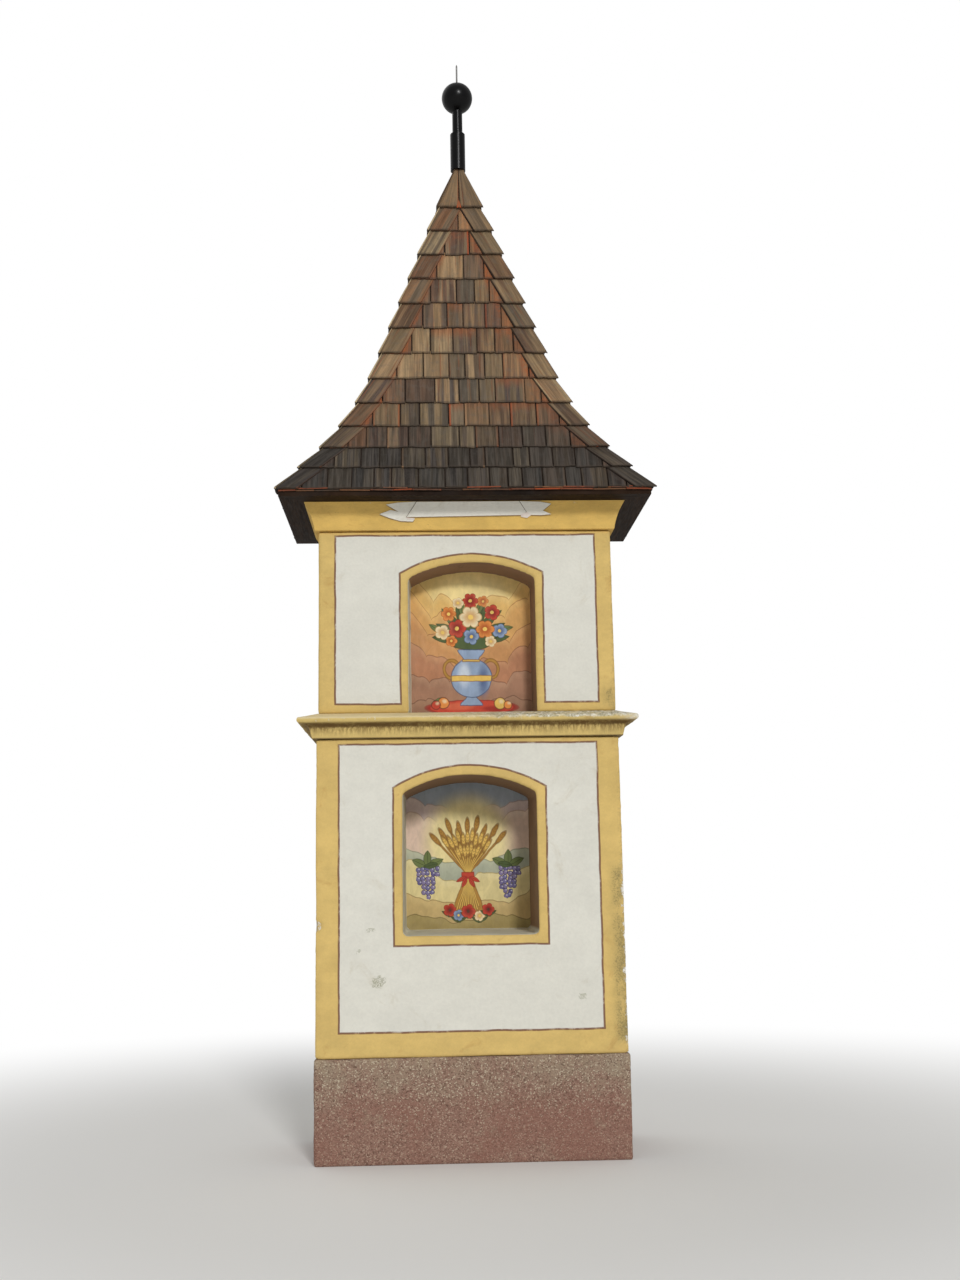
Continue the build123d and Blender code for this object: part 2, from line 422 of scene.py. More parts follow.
@nodeGroup("Place")
def woodGrain(place):
    # split wood: long streaks along the second number of the place, ridges across the first
    streaks = cloud(stretch(place, (62, 3.2, 1)), 1, 4, 0.65, 0.5)
    fine = cloud(stretch(place, (310, 9, 1)), 1, 3, 0.6, 0.3)
    return {"Streaks": streaks, "Fine": fine, "Height": streaks * 0.6 + fine * 0.4}


@nodeGroup("Place HalfWidth HalfDepth PanelFoot PanelTop Border NicheMiddle NicheHalf ArchCentre "
           "ArchReach Sill Band NicheBack")
def paintedFrame(place, halfWidth, halfDepth, panelFoot, panelTop, border, nicheMiddle, nicheHalf,
                 archCentre, archReach, sill, band, nicheBack):
    # a storey's painted frame: ochre bands, and a thin line round each pale area between them
    x, y, z = apart(place)
    onSide = (abs(x) > halfWidth - 0.012) * (abs(y) < halfDepth - 0.012)
    onFace = 1 - onSide
    run = abs(x) * onFace + abs(y) * onSide
    reach = halfWidth * onFace + halfDepth * onSide
    panel = most(run - (reach - border), z - panelTop, panelFoot - z)
    offset = x - nicheMiddle
    opening = most(abs(offset) - nicheHalf, lengthOf(offset, z - archCentre) - archReach, sill - z)
    notFront = 1 - (y < 0.008 - halfDepth)
    pale = most(panel, (opening - band + notFront * 9) * -1)
    return {"Bands": fade(pale, -0.0006, 0.0006), "Lines": fade(abs(pale), 0.0054, 0.0032),
            "Niche": (opening < 0.012) * (y < nicheBack) * notFront}


@nodeGroup("Place X Z Radius")
def wallMark(place, markX, markZ, radius):
    # an uneven mark at one place: specks that fill it, and broken bits of a ring round it
    x, y, z = apart(place)
    uneven = (cloud(place, 55, 3, 0.6) - 0.5) * 0.05
    beyond = lengthOf(x - markX, z - markZ) + uneven - radius
    specks = fade(cloud(place, 170, 3, 0.7), 0.44, 0.54)
    broken = fade(cloud(place, 70, 2), 0.46, 0.56)
    return {"Specks": fade(beyond, 0.005, -0.008) * specks,
            "Ring": fade(abs(beyond), 0.0045, 0.0015) * broken}


# masonry

lowerStorey = {
    "box": boxOf("lower_left_pier", "lower_right_pier"), "wear": 1, "mossy": (0.455, 1.27),
    "niche": (0.003, 0.292), "sill": 0.931, "springing": 1.54, "crown": 1.618, "depth": 0.42,
    "taper": 0.973, "panel": (0.535, 1.752), "border": 0.098, "band": 0.04,
    "replaced": ("lower_left_pier", "lower_right_pier", "lower_sill_block", "lower_back_wall",
                 "lower_arch_head")}
upperStorey = {
    "box": boxOf("upper_left_pier", "upper_right_pier"), "wear": 0.45, "mossy": (1.87, 2.06),
    "niche": (0.025, 0.2815), "sill": 1.85, "springing": 2.491, "crown": 2.562, "depth": 0.2,
    "taper": 0.979, "panel": (1.929, 2.683), "border": 0.074, "band": 0.036,
    "replaced": ("upper_left_pier", "upper_right_pier", "upper_back_wall", "upper_arch_head")}
masonryFinish = {
    "voxel": 0.011, "arris": 0.03, "white": (218, 216, 205), "whiteStain": (190, 181, 160),
    "ochre": (212, 182, 112), "ochreStain": (186, 146, 84), "line": (118, 82, 64),
    # reveal colours: the darker one is painted shade on the right reveal and the arch, the paler one is
    # painted light on the left reveal, and the niche floor gets it too
    "reveal": (142, 114, 90), "revealPaintedLight": (206, 203, 184), "grime": (92, 82, 66),
    "plaster": (230, 228, 220), "lichen": (134, 134, 104), "moss": (116, 108, 72),
    "wash": (160, 142, 92)}
# x, z and radius of the knocked place on the left arris, its reach and depth, and the lichen's marks
knock = (-0.655, 0.981, 0.014)
knockReach, knockDepth = 0.022, 0.006
lichenMarks = ((-0.396, 0.744, 0.026), (0.473, 0.67, 0.012), (-0.477, 0.876, 0.006), (-0.44, 0.956, 0.002),
               (-0.418, 0.957, 0.001))


def archRadius(storey):
    half = storey["niche"][1]
    rise = storey["crown"] - storey["springing"]
    return (half * half + rise * rise) / (2 * rise)


def nicheCutter(storey):
    # a box for the jambs, cut round by a long low cylinder, drawn in towards its back
    middle, half = storey["niche"]
    front = storey["box"][0][1]
    back = front + storey["depth"]
    radius = archRadius(storey)
    arch = addShape("arch", bpy.ops.mesh.primitive_cylinder_add, vertices=256, radius=radius, depth=2,
                    rotation=(math.pi / 2, 0, 0), location=(middle, 0, storey["crown"] - radius))
    box = addBox("nicheCutter", (middle - half, front - 0.05, storey["sill"]),
                 (middle + half, back, storey["crown"] + 0.02))
    cutWith(box, arch, "INTERSECT")
    startEdit(box, "EDGE")
    pickEdges(box, lambda a, b: min(a.y, b.y) > back - 0.001)
    bpy.ops.transform.resize(value=(storey["taper"], 1, storey["taper"]))
    endEdit()
    return box


def roughenEdges(piece, storey):
    # knocks and hollows in a few stretches of the four upright arrises, most of them on the right
    low, high = storey["box"]
    knocked = Vector((low[0], low[1], knock[1]))

    def nearArris(place):
        away = max(min(abs(place[axis] - low[axis]), abs(high[axis] - place[axis])) for axis in (0, 1))
        side = 1 if place.x > 0 else 0.45
        hollows = noise.noise(Vector((side * 3, place.y, place.z * 4.3 + side))) + 0.12
        near = max(0, 1 - away / masonryFinish["arris"])
        return near * side * storey["wear"] * min(1, max(0, 3.5 * hollows))

    weigh(piece, "arris", nearArris)
    for vertex in piece.data.vertices:
        if (vertex.co - knocked).length < knockReach:
            vertex.co += Vector((knockDepth, knockDepth, 0))
    pushBy(piece, "knocks", 0.028, 3, -0.011, "arris")


def buildStorey(name, storey):
    body = addBox(name, *storey["box"])
    cutWith(body, nicheCutter(storey))
    useModifier(body, "REMESH", mode="VOXEL", voxel_size=masonryFinish["voxel"], use_smooth_shade=True)
    roughenEdges(body, storey)
    pushBy(body, name + "Waves", 0.32, 1, 0.005)
    pushBy(body, name + "Trowel", 0.06, 2, 0.0016)
    return body


def paintStorey(place, storey):
    # white panels, ochre bands with thin lines, and the lining of the niche: colour, relief, roughness
    tones = masonryFinish
    low, high = storey["box"]
    sill, radius = storey["sill"], archRadius(storey)
    x, y, z = apart(place)
    wobble = stretch(cloud(place, 7, 2, 0.5, output="Color"), [0.01] * 3, [-0.005] * 3)
    drawn = Value(addNode("VectorMath", (place, wobble)).outputs[0])
    marks = paintedFrame(drawn, *high[:2], *storey["panel"], storey["border"], *storey["niche"],
                         storey["crown"] - radius, radius, sill, storey["band"],
                         low[1] + storey["depth"] + 0.03)
    white = limewash(place, tones["white"], tones["whiteStain"], 0.45, 0.45)
    ochre = limewash(stretch(place, [1.7] * 3, (3, 1, 2)), tones["ochre"], tones["ochreStain"], 0.9, 0.55)
    worn = fade(cloud(place, 22, 4, 0.7), 0.32, 0.5, 0.5, 0.92)
    # the left reveal and the floor of the niche are paler than the right reveal and the arch: painted light
    # on the left reveal, painted shade on the right reveal and the arch
    litLeftReveal = (fade(x - storey["niche"][0], -0.24, -0.26)
                * fade(z, storey["springing"] - 0.002, storey["springing"] - 0.012))
    reveal = blend(most(litLeftReveal, fade(z, sill + 0.03, sill + 0.012)), tones["reveal"], tones["revealPaintedLight"])
    lining = limewash(place, reveal, tones["grime"], 1.2, 0.5)
    colour = coat(white["Colour"], (marks["Bands"], ochre["Colour"]), (marks["Lines"] * worn, tones["line"]),
                  (marks["Niche"], lining["Colour"]))
    return colour, white["Height"], white["Roughness"]


def storeyMaterial(name, storey):
    tones = masonryFinish
    place = newMaterial(name)
    x, y, z = apart(place)
    low, high = storey["box"]
    colour, height, roughness = paintStorey(place, storey)
    # moss on the right border, denser towards its arris
    reach = most(high[0] - abs(x), high[1] - abs(y))
    mossLow, mossHigh = storey["mossy"]
    zone = fade(z, mossHigh, mossHigh - 0.1) * fade(z, mossLow, mossLow + 0.05)
    clumps = fade(cloud(stretch(place, (1, 1, 0.5)), 12, 4, 0.65), 0.36, 0.6, 0.2, 1)
    onRight = x > 0
    spread = fade(reach, 0.08, 0.01) * onRight * zone * clumps
    specks = fade(cloud(place, 130, 4, 0.75) + spread * 0.13, 0.57, 0.66) * fade(spread, 0.04, 0.6, 0, 0.5)
    # dirt and knocked plaster on the arrises, and splashes at the foot
    corner = (fade(reach, 0.022, 0) * fade(x, -0.2, 0.5, 0.08, 0.4)
              * fade(cloud(place, 70, 5, 0.8), 0.5, 0.58, 0, 0.7))
    ragged = fade(cloud(stretch(place, (1, 1, 0.6)), 46, 5, 0.78), 0.44, 0.64, 0.001, 0.014)
    knocked = wallMark(place, *knock)
    bare = most(fade(reach - ragged * storey["wear"] ** 2, 0.0015, -0.0015) * zone * onRight,
                knocked["Specks"], knocked["Ring"])
    splash = fade(z, low[2] + 0.12, low[2]) * fade(cloud(place, 9, 5, 0.7), 0.5, 0.75, 0, 0.14)
    colour = coat(colour, (spread * 0.75, tones["wash"]), (specks, tones["moss"]), (corner, tones["grime"]),
                  (bare * 0.85, tones["plaster"]), (splash, tones["grime"]))
    onFront = (y < low[1] + 0.02) * 0.7
    for lichenMark in lichenMarks:
        mark = wallMark(place, *lichenMark)
        colour = blend(most(mark["Specks"], mark["Ring"] * 0.7) * onFront, colour, tones["lichen"])
    return finish(colour, roughness, 0.25, height - bare * 0.5, 0.0022, 0.9)


for name, storey in (("lowerMasonry", lowerStorey), ("upperMasonry", upperStorey)):
    body = buildStorey(name, storey)
    hand(body, storeyMaterial(name + "Limewash", storey), "render", *storey["replaced"])
    print(name, "built,", len(body.data.polygons), "faces")


# plinth

plinth = {
    "box": boxOf("base_plinth"), "voxel": 0.0075, "arris": 0.006, "grains": 210, "grey": (160, 146, 124),
    "red": (142, 100, 87), "pit": (96, 70, 58), "pale": (208, 196, 172), "drip": (190, 172, 138),
    "drips": (0.44, 0.09, 0.35),
    "stones": ((0, (104, 79, 69)), (0.1, (130, 99, 87)), (0.35, (143, 111, 97)), (0.65, (152, 120, 105)),
               (0.9, (161, 131, 114)), (1, (178, 154, 135)))}


def buildPlinth():
    low, high = plinth["box"]
    body = addBox("plinthRoughcast", low, high)
    startEdit(body, "EDGE")
    pickEdges(body, lambda a, b: min(a.z, b.z) > high[2] / 2 or abs(a.z - b.z) > 0.1)
    bpy.ops.mesh.bevel(offset=plinth["arris"], segments=2)
    endEdit()
    useModifier(body, "REMESH", mode="VOXEL", voxel_size=plinth["voxel"], use_smooth_shade=True)
    weigh(body, "rough", lambda place: min(1, place.z / 0.02))
    pushBy(body, "plinthWaves", 0.22, 1, 0.008, "rough")
    pushBy(body, "plinthStones", 0.017, 3, 0.003, "rough")
    return body


def roughcastMaterial():
    place = newMaterial("pebbleRoughcast")
    x, y, z = apart(place)
    stones = cells(place, plinth["grains"])
    pick = apart(stones["Color"])[0]
    # greyer towards the top, redder low down, and beige where the roughcast is rubbed
    patchy = cloud(place, 11, 6, 0.75)
    level = z + (patchy - 0.5) * 0.5
    faded = fade(level, 0.16, 0.44) * fade(abs(x), 0.1, 0.6, 0.65, 1) * fade(patchy, 0.3, 0.66, 0.25, 0.8)
    reddish = fade(z, 0.34, 0.2) * fade(cloud(place, 3.2, 4, 0.6), 0.42, 0.62, 0.05, 0.55)
    rubbed = fade(cloud(place, 7.5, 5, 0.65), 0.55, 0.68, 0, 0.3)
    # pale and dark grains, plainest where the roughcast is grey
    plain = fade(level, 0.1, 0.36, 0.2, 0.95)
    holes = fade(cloud(place, 62, 3, 0.7), 0.68, 0.72)
    colour = coat(colourRun(pick, *plinth["stones"]), (faded, plinth["grey"]), (reddish, plinth["red"]),
                  (rubbed, plinth["grey"]), (fade(pick, 0.82, 0.94, 0, 0.6) * plain, plinth["pale"]),
                  (fade(pick, 0.17, 0.06, 0, 0.6) * plain, plinth["pit"]),
                  (fade(stones["Distance"], 0.45, 0.75) * 0.34, plinth["pit"]),
                  (holes * 0.75, plinth["pit"]),
                  (weather(place, *plinth["drips"])["Streaks"], plinth["drip"]))
    small = cells(place, plinth["grains"] * 2.1)["Distance"]
    return finish(colour, 0.93, 0.2, 1 - stones["Distance"] - small * 0.4 - holes * 1.2, 0.0022)


hand(buildPlinth(), roughcastMaterial(), "roughcast", "base_plinth")
print("plinth built")


# cornices, drawn ring by ring from their foot upwards: how far each ring stands out, and its level

midCornice = {
    "half": lowerStorey["box"][1][:2], "step": 0.011, "wear": 1, "nose": 1.855, "slot": "mid_cornice",
    "colour": (210, 184, 116), "stain": (180, 146, 88),
    "rings": [(0.018, 1.778), (0.0195, 1.785), (0.022, 1.797), (0.0245, 1.808), (0.026, 1.816),
              (0.0285, 1.8225), (0.0325, 1.829), (0.0385, 1.8345), (0.046, 1.8385), (0.0555, 1.8405),
              (0.066, 1.8412), (0.0725, 1.843), (0.0775, 1.8475), (0.0798, 1.8535), (0.0795, 1.8595),
              (0.077, 1.8645), (0.0725, 1.868), (0.066, 1.869), (0.056, 1.8715), (0.042, 1.8755),
              (0.026, 1.88), (0.01, 1.8845), (-0.0065, 1.8895)]}
topCornice = {
    "half": upperStorey["box"][1][:2], "step": 0.012, "wear": 0.7, "nose": 2.825, "slot": "top_cornice",
    "colour": (222, 184, 102), "stain": (192, 148, 80),
    "rings": [(0.012, 2.705), (0.0155, 2.7055), (0.017, 2.709), (0.018, 2.72), (0.021, 2.734),
              (0.0255, 2.75), (0.031, 2.768), (0.0385, 2.786), (0.047, 2.804), (0.055, 2.818),
              (0.06, 2.8245)]}


def drawMoulding(name, cornice):
    half = Vector((*cornice["half"], 1))
    out, level = cornice["rings"][0]
    foot = level + 1e-5
    size = half + Vector((out, out, 0))
    piece = addShape(name, bpy.ops.mesh.primitive_plane_add, size, size=2, location=(0, 0, level))
    startEdit(piece, "FACE", "SELECT")
    bpy.ops.mesh.delete(type="ONLY_FACE")
    bpy.ops.mesh.select_mode(type="EDGE")
    for axis in (0, 1):
        pickEdges(piece, lambda a, b: abs(a[axis] - b[axis]) > 0.5)
        bpy.ops.mesh.subdivide(number_cuts=round(2 * half[axis] / cornice["step"]))
    bpy.ops.mesh.select_all(action="SELECT")
    for out, nextLevel in cornice["rings"][1:]:
        bpy.ops.mesh.extrude_edges_move(TRANSFORM_OT_translate={"value": (0, 0, nextLevel - level)})
        nextSize = half + Vector((out, out, 0))
        bpy.ops.transform.resize(value=(nextSize.x / size.x, nextSize.y / size.y, 1),
                                 center_override=(0, 0, nextLevel))
        size, level = nextSize, nextLevel
    bpy.ops.mesh.edge_face_add()
    pickEdges(piece, lambda a, b: max(a.z, b.z) < foot)
    bpy.ops.mesh.edge_face_add()
    endEdit()
    turnOutwards(piece)
    return piece


def wearMoulding(piece, cornice):
    low, high = cornice["rings"][0][1] + 0.002, cornice["rings"][-1][1] - 0.001
    weigh(piece, "worn", lambda place: 1 if low < place.z < high else 0)
    pushBy(piece, piece.name + "Waves", 0.16, 1, 0.004 * cornice["wear"], "worn")
    pushBy(piece, piece.name + "Chips", 0.024, 3, 0.0042 * cornice["wear"], "worn")
    smoothPiece(piece, 50)


def weatherNose(colour, place, cornice):
    # cream on top, bleached and speckled over the nose towards the right, with a dark band under it that is
    # partly dirt and partly painted shade under the nose, dirt running down the hollow and painted shade at
    # the foot; gives the colour, and how white the right end is
    x, y, z = apart(place)
    halfWidth, halfDepth = cornice["half"]
    nose, foot = cornice["nose"], cornice["rings"][0][1]
    upward = apart(outputsOf(addNode("NewGeometry"))["Normal"])[2]
    mottled = fade(cloud(place, 16, 5, 0.7), 0.36, 0.6)
    tip = (fade(x, halfWidth - 0.03, halfWidth + 0.07) * fade(y, 0.06 - halfDepth, -0.03 - halfDepth)
           * fade(z, nose - 0.016, nose - 0.008) * fade(mottled, 0, 1, 0.35, 0.9))
    onNose = fade(upward, -0.35, 0.35) * fade(z, nose - 0.014, nose - 0.006)
    bleached = colourRun(cloud(place, 60, 4, 0.75), (0.36, (134, 126, 96)), (0.5, (190, 182, 154)),
                         (0.62, (228, 226, 216)))
    # a dark band under the nose: partly dirt held there, partly painted shade under the nose
    heldDirtAndShade = fade(abs(z - (nose - 0.021)), 0.013, 0.003) * fade(mottled, 0, 1, 0.55, 0.9)
    runs = (fade(cloud(stretch(place, (110, 110, 9)), 1, 4, 0.7), 0.34, 0.6)
            * fade(z, nose - 0.078, nose - 0.018) * fade(z, nose - 0.012, nose - 0.016))
    shaded = fade(z, foot + 0.006, foot + 0.001, 0, 0.7)
    colour = coat(colour, (fade(upward, 0.05, 0.6) * 0.85, (220, 204, 162)),
                  (onNose * fade(x, -0.25, 0.35) * (mottled + 0.3), bleached), (heldDirtAndShade, (96, 72, 38)),
                  (runs * 0.92, (114, 88, 48)), (shaded, (82, 62, 38)))
    return colour, tip


def corniceMaterial(name, cornice):
    place = newMaterial(name)
    ochre = limewash(stretch(place, (1.9, 1.9, 2.6), (1, 4, 2)), cornice["colour"], cornice["stain"], 1, 0.6)
    worn = weather(place, cornice["nose"], 0.075, 0.35)
    colour, edge = ochre["Colour"], 0
    if cornice is midCornice:
        colour, edge = weatherNose(colour, place, cornice)
    nearNose = fade(abs(apart(place)[2] - cornice["nose"]), 0.014, 0.004, 0, 0.5)
    edge = most(edge, worn["Chips"] * nearNose)
    colour = coat(colour, (worn["Lichen"] * 0.6, (112, 106, 78)), (edge, (226, 222, 208)))
    return finish(colour, ochre["Roughness"], 0.25, ochre["Height"] - edge * 0.6, 0.0026)


for name, cornice in (("midMoulding", midCornice), ("topMoulding", topCornice)):
    piece = drawMoulding(name, cornice)
    wearMoulding(piece, cornice)
    hand(piece, corniceMaterial(name + "Ochre", cornice), "ochre_render", cornice["slot"])


# blank ribbon on the cornice under the eaves: outlines as x and z, laid on the sloping face

ribbonShapes = {
    "band": ((-0.214, 2.8225), (-0.26, 2.76), (0.25, 2.766), (0.274, 2.78), (0.24, 2.8225)),
    "tailLeft": ((-0.38, 2.773), (-0.33, 2.79), (-0.295, 2.782), (-0.35, 2.812), (-0.3, 2.819),
                 (-0.217, 2.8225), (-0.262, 2.758), (-0.224, 2.752), (-0.232, 2.741), (-0.285, 2.743),
                 (-0.337, 2.757)),
    "tailRight": ((0.274, 2.78), (0.297, 2.766), (0.34, 2.765), (0.385, 2.769), (0.347, 2.784),
                  (0.384, 2.812), (0.334, 2.82), (0.243, 2.8225)),
    "foldLeft": ((-0.262, 2.758), (-0.224, 2.7545), (-0.23, 2.7475), (-0.256, 2.751)),
    "foldRight": ((0.249, 2.77), (0.25, 2.757), (0.277, 2.753), (0.297, 2.766), (0.278, 2.778)),
    "creaseLeft": ((-0.217, 2.8225), (-0.214, 2.8225), (-0.2595, 2.759), (-0.2625, 2.759)),
    "creaseRight": ((0.243, 2.8225), (0.24, 2.8225), (0.2715, 2.78), (0.2745, 2.78))}
scroll = ("band", "tailLeft", "tailRight")
# piece, its shapes, material and slot, colour and stain, lift off the cornice, drop and thickness
ribbonPieces = (
    # the first piece is a darker copy dropped below the ribbon: a painted outline that also serves as a
    # painted shadow under the ribbon
    ("ribbonOutline", scroll, "ribbonOutlinePaint", "ochre_render", (150, 122, 84), (110, 88, 62),
     0.0022, 0.0034, 0.00132),
    ("ribbonScroll", scroll, "ribbonPaint", "render", (232, 229, 218), (190, 180, 158), 0.0034, 0, 0.0022),
    ("ribbonFolds", ("foldLeft", "foldRight"), "ribbonFoldPaint", "render", (226, 214, 204),
     (184, 166, 152), 0.0052, 0, 0.00132),
    ("ribbonCreases", ("creaseLeft", "creaseRight"), "ribbonCreasePaint", "render", (128, 118, 104),
     (96, 84, 72), 0.005, 0, 0.0011))


def faceOut(level):
    # how far the top cornice's front stands out at one level
    rings = topCornice["rings"]
    for (outLow, low), (outHigh, high) in zip(rings, rings[1:]):
        if low <= level <= high:
            return outLow + (outHigh - outLow) * (level - low) / (high - low)
    return rings[-1][0]


def layShape(name, lift, drop, thick):
    # a flat shape whose rim is moved to the outline, cut into strips and laid on the cornice's slope
    outline = ribbonShapes[name]
    wall = -topCornice["half"][1]
    shape = addShape(name, bpy.ops.mesh.primitive_circle_add, vertices=len(outline), fill_type="NGON")
    for vertex, (x, z) in zip(shape.data.vertices, outline):
        vertex.co = (x, wall, z - drop)
    startEdit(shape, action="SELECT")
    bpy.ops.mesh.quads_convert_to_tris()
    cuts = [((0, 0, level), (0, 0, 1)) for _, level in topCornice["rings"][3:]]
    cuts += [((x / 20, 0, 0), (1, 0, 0)) for x in range(-8, 9)]
    for place, direction in cuts:
        bpy.ops.mesh.select_all(action="SELECT")
        bpy.ops.mesh.bisect(plane_co=place, plane_no=direction)
    endEdit()
    for vertex in shape.data.vertices:
        vertex.co.y = wall - faceOut(vertex.co.z) - lift
    useModifier(shape, "SOLIDIFY", thickness=thick, offset=1)
    turnOutwards(shape)
    return shape


def ribbonMaterial(name, colour, stain):
    place = newMaterial(name)
    wash = limewash(place, colour, stain, 0.6, 0.5)
    streaks = weather(place, topCornice["nose"], 0.06, 0.25)["Streaks"]
    colour = blend(streaks, wash["Colour"], stain)
    return finish(colour, wash["Roughness"], 0.5, wash["Height"], 0.0016, 0.8)


for name, shapes, finishName, slot, colour, stain, lift, drop, thick in ribbonPieces:
    laid = [layShape(shape, lift, drop, thick) for shape in shapes]
    hand(joinPieces(name, laid), ribbonMaterial(finishName, colour, stain), slot)
print("cornices built")


# one rough board is modelled in a few variants, and every shingle is a copy fitted to its place

boardShape = {
    "variants": 6, "acrossLines": (0, 0.035, 0.2, 0.38, 0.55, 0.74, 0.965, 1), "alongCuts": 3,
    "ridge": 0.12, "roundEdge": 0.09, "roundButt": 0.1, "ragged": 0.012, "lean": (-0.02, 0.02),
    "thinner": 0.65,
    "attributes": {"boardPlace": "FLOAT_VECTOR", "boardTone": "FLOAT_COLOR", "boardRim": "FLOAT_COLOR",
                   "boardAway": "FLOAT"}}
roofRows = {
    "butt": 0.015, "head": 0.003, "widths": (0.064, 0.13), "jointsApart": 0.018, "gap": 0.0018,
    "slip": (-0.003, 0.003), "lift": (-0.0014, 0.0016), "skew": (-0.0024, 0.0024), "overlap": 0.014,
    "inset": 0.035, "trim": 0.022, "thick": (0.0095, 0.0125), "seed": 21}
hipRows = {
    "butt": 0.0065, "head": 0.003, "width": 0.104, "over": (0.007, 0.006), "under": (-0.0015, -0.0015),
    "capOver": (0.006, 0.006), "overlap": 0.012, "thick": (0.0085, 0.0105), "capThick": 0.012,
    "seam": 0.0012, "orangeReach": 0.12}
eave = {
    "foot": 0.016, "layers": (0.008, 0.0165), "widths": (0.07, 0.15), "out": 0.012, "inward": 0.05,
    "gap": 0.0008, "thick": 0.0058}
chance = random.Random(roofRows["seed"])


def makeBoard(number):
    # unit board: x across, y from butt to head, its top at z 0 and its underside at -1 at the butt
    board = addBox(f"boardShape{number}", (0, 0, -1), (1, 1, 0))
    startEdit(board, "EDGE")
    lines = boardShape["acrossLines"]
    pickEdges(board, lambda a, b: abs(a.x - b.x) > 0.5)
    bpy.ops.mesh.subdivide(number_cuts=len(lines) - 2)
    pickEdges(board, lambda a, b: abs(a.y - b.y) > 0.5 and a.z > -0.1)
    bpy.ops.mesh.subdivide(number_cuts=boardShape["alongCuts"])
    endEdit()
    dice = random.Random(100 + number)
    ridges = [dice.uniform(-1, 0) * boardShape["ridge"] for _ in lines]
    ragged = [dice.uniform(-1, 1) * boardShape["ragged"] for _ in lines]
    lean = dice.uniform(*boardShape["lean"])
    for vertex in board.data.vertices:
        spot = round(vertex.co.x * (len(lines) - 1))
        atButt = vertex.co.y < 0.01
        if vertex.co.z > -0.1:
            vertex.co.z += ridges[spot] * (0.6 + 0.4 * math.sin(7 * vertex.co.y + number))
            if spot in (0, len(lines) - 1):
                vertex.co.z -= boardShape["roundEdge"]
            if atButt:
                vertex.co.z -= boardShape["roundButt"]
        if atButt:
            vertex.co.y += ragged[spot] + lean * (vertex.co.x - 0.5)
        vertex.co.x = lines[spot]
    for name, kind in boardShape["attributes"].items():
        board.data.attributes.new(name, kind, "POINT")
    return board


boards = [makeBoard(number) for number in range(boardShape["variants"])]


def layBoard(corners, normal, thick, tone, rim, away=(1, 1, 1, 1)):
    # corners of the top face: butt left, butt right, head left, head right; the rim's colour shows by
    # amounts at the left, right and butt edges, then its kind; away is how far each corner is from a hip
    source = boards[chance.randrange(len(boards))]
    buttLeft, buttRight, headLeft, headRight = corners
    board = source.copy()
    board.data = source.data.copy()
    scene.collection.objects.link(board)
    width = (buttRight - buttLeft).length
    run = ((headLeft + headRight) / 2 - (buttLeft + buttRight) / 2).length
    seed = chance.uniform(0, 50)
    place, tint, edging, gap = (board.data.attributes[name].data for name in boardShape["attributes"])
    mirror = chance.random() < 0.5
    for number, vertex in enumerate(board.data.vertices):
        s, t, depth = vertex.co
        if mirror:
            s = 1 - s
        place[number].vector = ((s - 0.5) * width, t * run, seed)
        tint[number].color = (*tone, width / 2)
        edging[number].color = rim
        atButt, atHead = (away[end] * (1 - s) + away[end + 1] * s for end in (0, 2))
        gap[number].value = atButt * (1 - t) + atHead * t
        low = buttLeft.lerp(buttRight, s)
        high = headLeft.lerp(headRight, s)
        vertex.co = low + (high - low) * t + normal * depth * thick * (1 - boardShape["thinner"] * t)
    return board


def deckLine(node, ending):
    # half sizes of the deck, and the level, where a course starts or ends
    places = [vertex.co for vertex in nodes[node].data.vertices]
    level = ending(place.z for place in places)
    edge = [place for place in places if abs(place.z - level) < 1e-4]
    return min(abs(place.x) for place in edge), min(abs(place.y) for place in edge), level


courseNodes = sorted(node for node in nodes if node.startswith("shingle_course_")) + ["roof_cap"]
stations = [deckLine(node, min) for node in courseNodes] + [deckLine("roof_cap", max)]
# each face's direction along a row and direction outwards, and which half size its rows have
ways = [Vector(way) for way in ((1, 0, 0), (0, 1, 0), (-1, 0, 0), (0, -1, 0))]
faces = {face: (ways[turn], ways[turn - 1], turn % 2)
         for turn, face in enumerate(("front", "right", "back", "left"))}
# the hip at each end of a face, and whether this face laps over the other there
hips = {("front", 1): ("front_right", True), ("right", -1): ("front_right", False),
        ("front", -1): ("front_left", False), ("left", 1): ("front_left", True),
        ("back", -1): ("back_right", True), ("right", 1): ("back_right", False),
        ("back", 1): ("back_left", False), ("left", -1): ("back_left", True)}


class Course:
    # one course on one face of the roof: gives points at a lift above the deck
    def __init__(self, face, low, high):
        self.axis, self.out, self.side = faces[face]
        self.other = 1 - self.side
        self.low, self.high = low, high
        gap = high[2] - low[2]
        self.leanAlong, self.leanOut = (math.hypot(low[side] - high[side], gap) / gap
                                        for side in (self.side, self.other))
        self.slope = (self.out * (high[self.other] - low[self.other]) + Vector((0, 0, gap))).normalized()
        self.normal = self.axis.cross(self.slope).normalized()

    def reach(self, atHead, lift=0):
        return (self.high if atHead else self.low)[self.side] + lift * self.leanAlong

    def point(self, along, atHead, lift):
        station = self.high if atHead else self.low
        place = self.axis * along + self.out * (station[self.other] + lift * self.leanOut)
        place.z = station[2]
        return place


def splitWidths(total, narrow, wide, avoid=()):
    # random widths that fill the row, with joints kept away from those of the row below
    best = (-1, None, None)
    for _ in range(40):
        widths = []
        while sum(widths) < total:
            widths.append(chance.uniform(narrow, wide))
        if len(widths) > 1 and sum(widths) - total > widths[-1] / 2:
            widths.pop()
        scale = total / sum(widths)
        widths = [width * scale for width in widths]
        joints = [sum(widths[:count]) - total / 2 for count in range(1, len(widths))]
        near = min([abs(a - b) for a in joints for b in avoid], default=1)
        if near > best[0]:
            best = (near, widths, joints)
        if near > roofRows["jointsApart"]:
            break
    return best[1:]


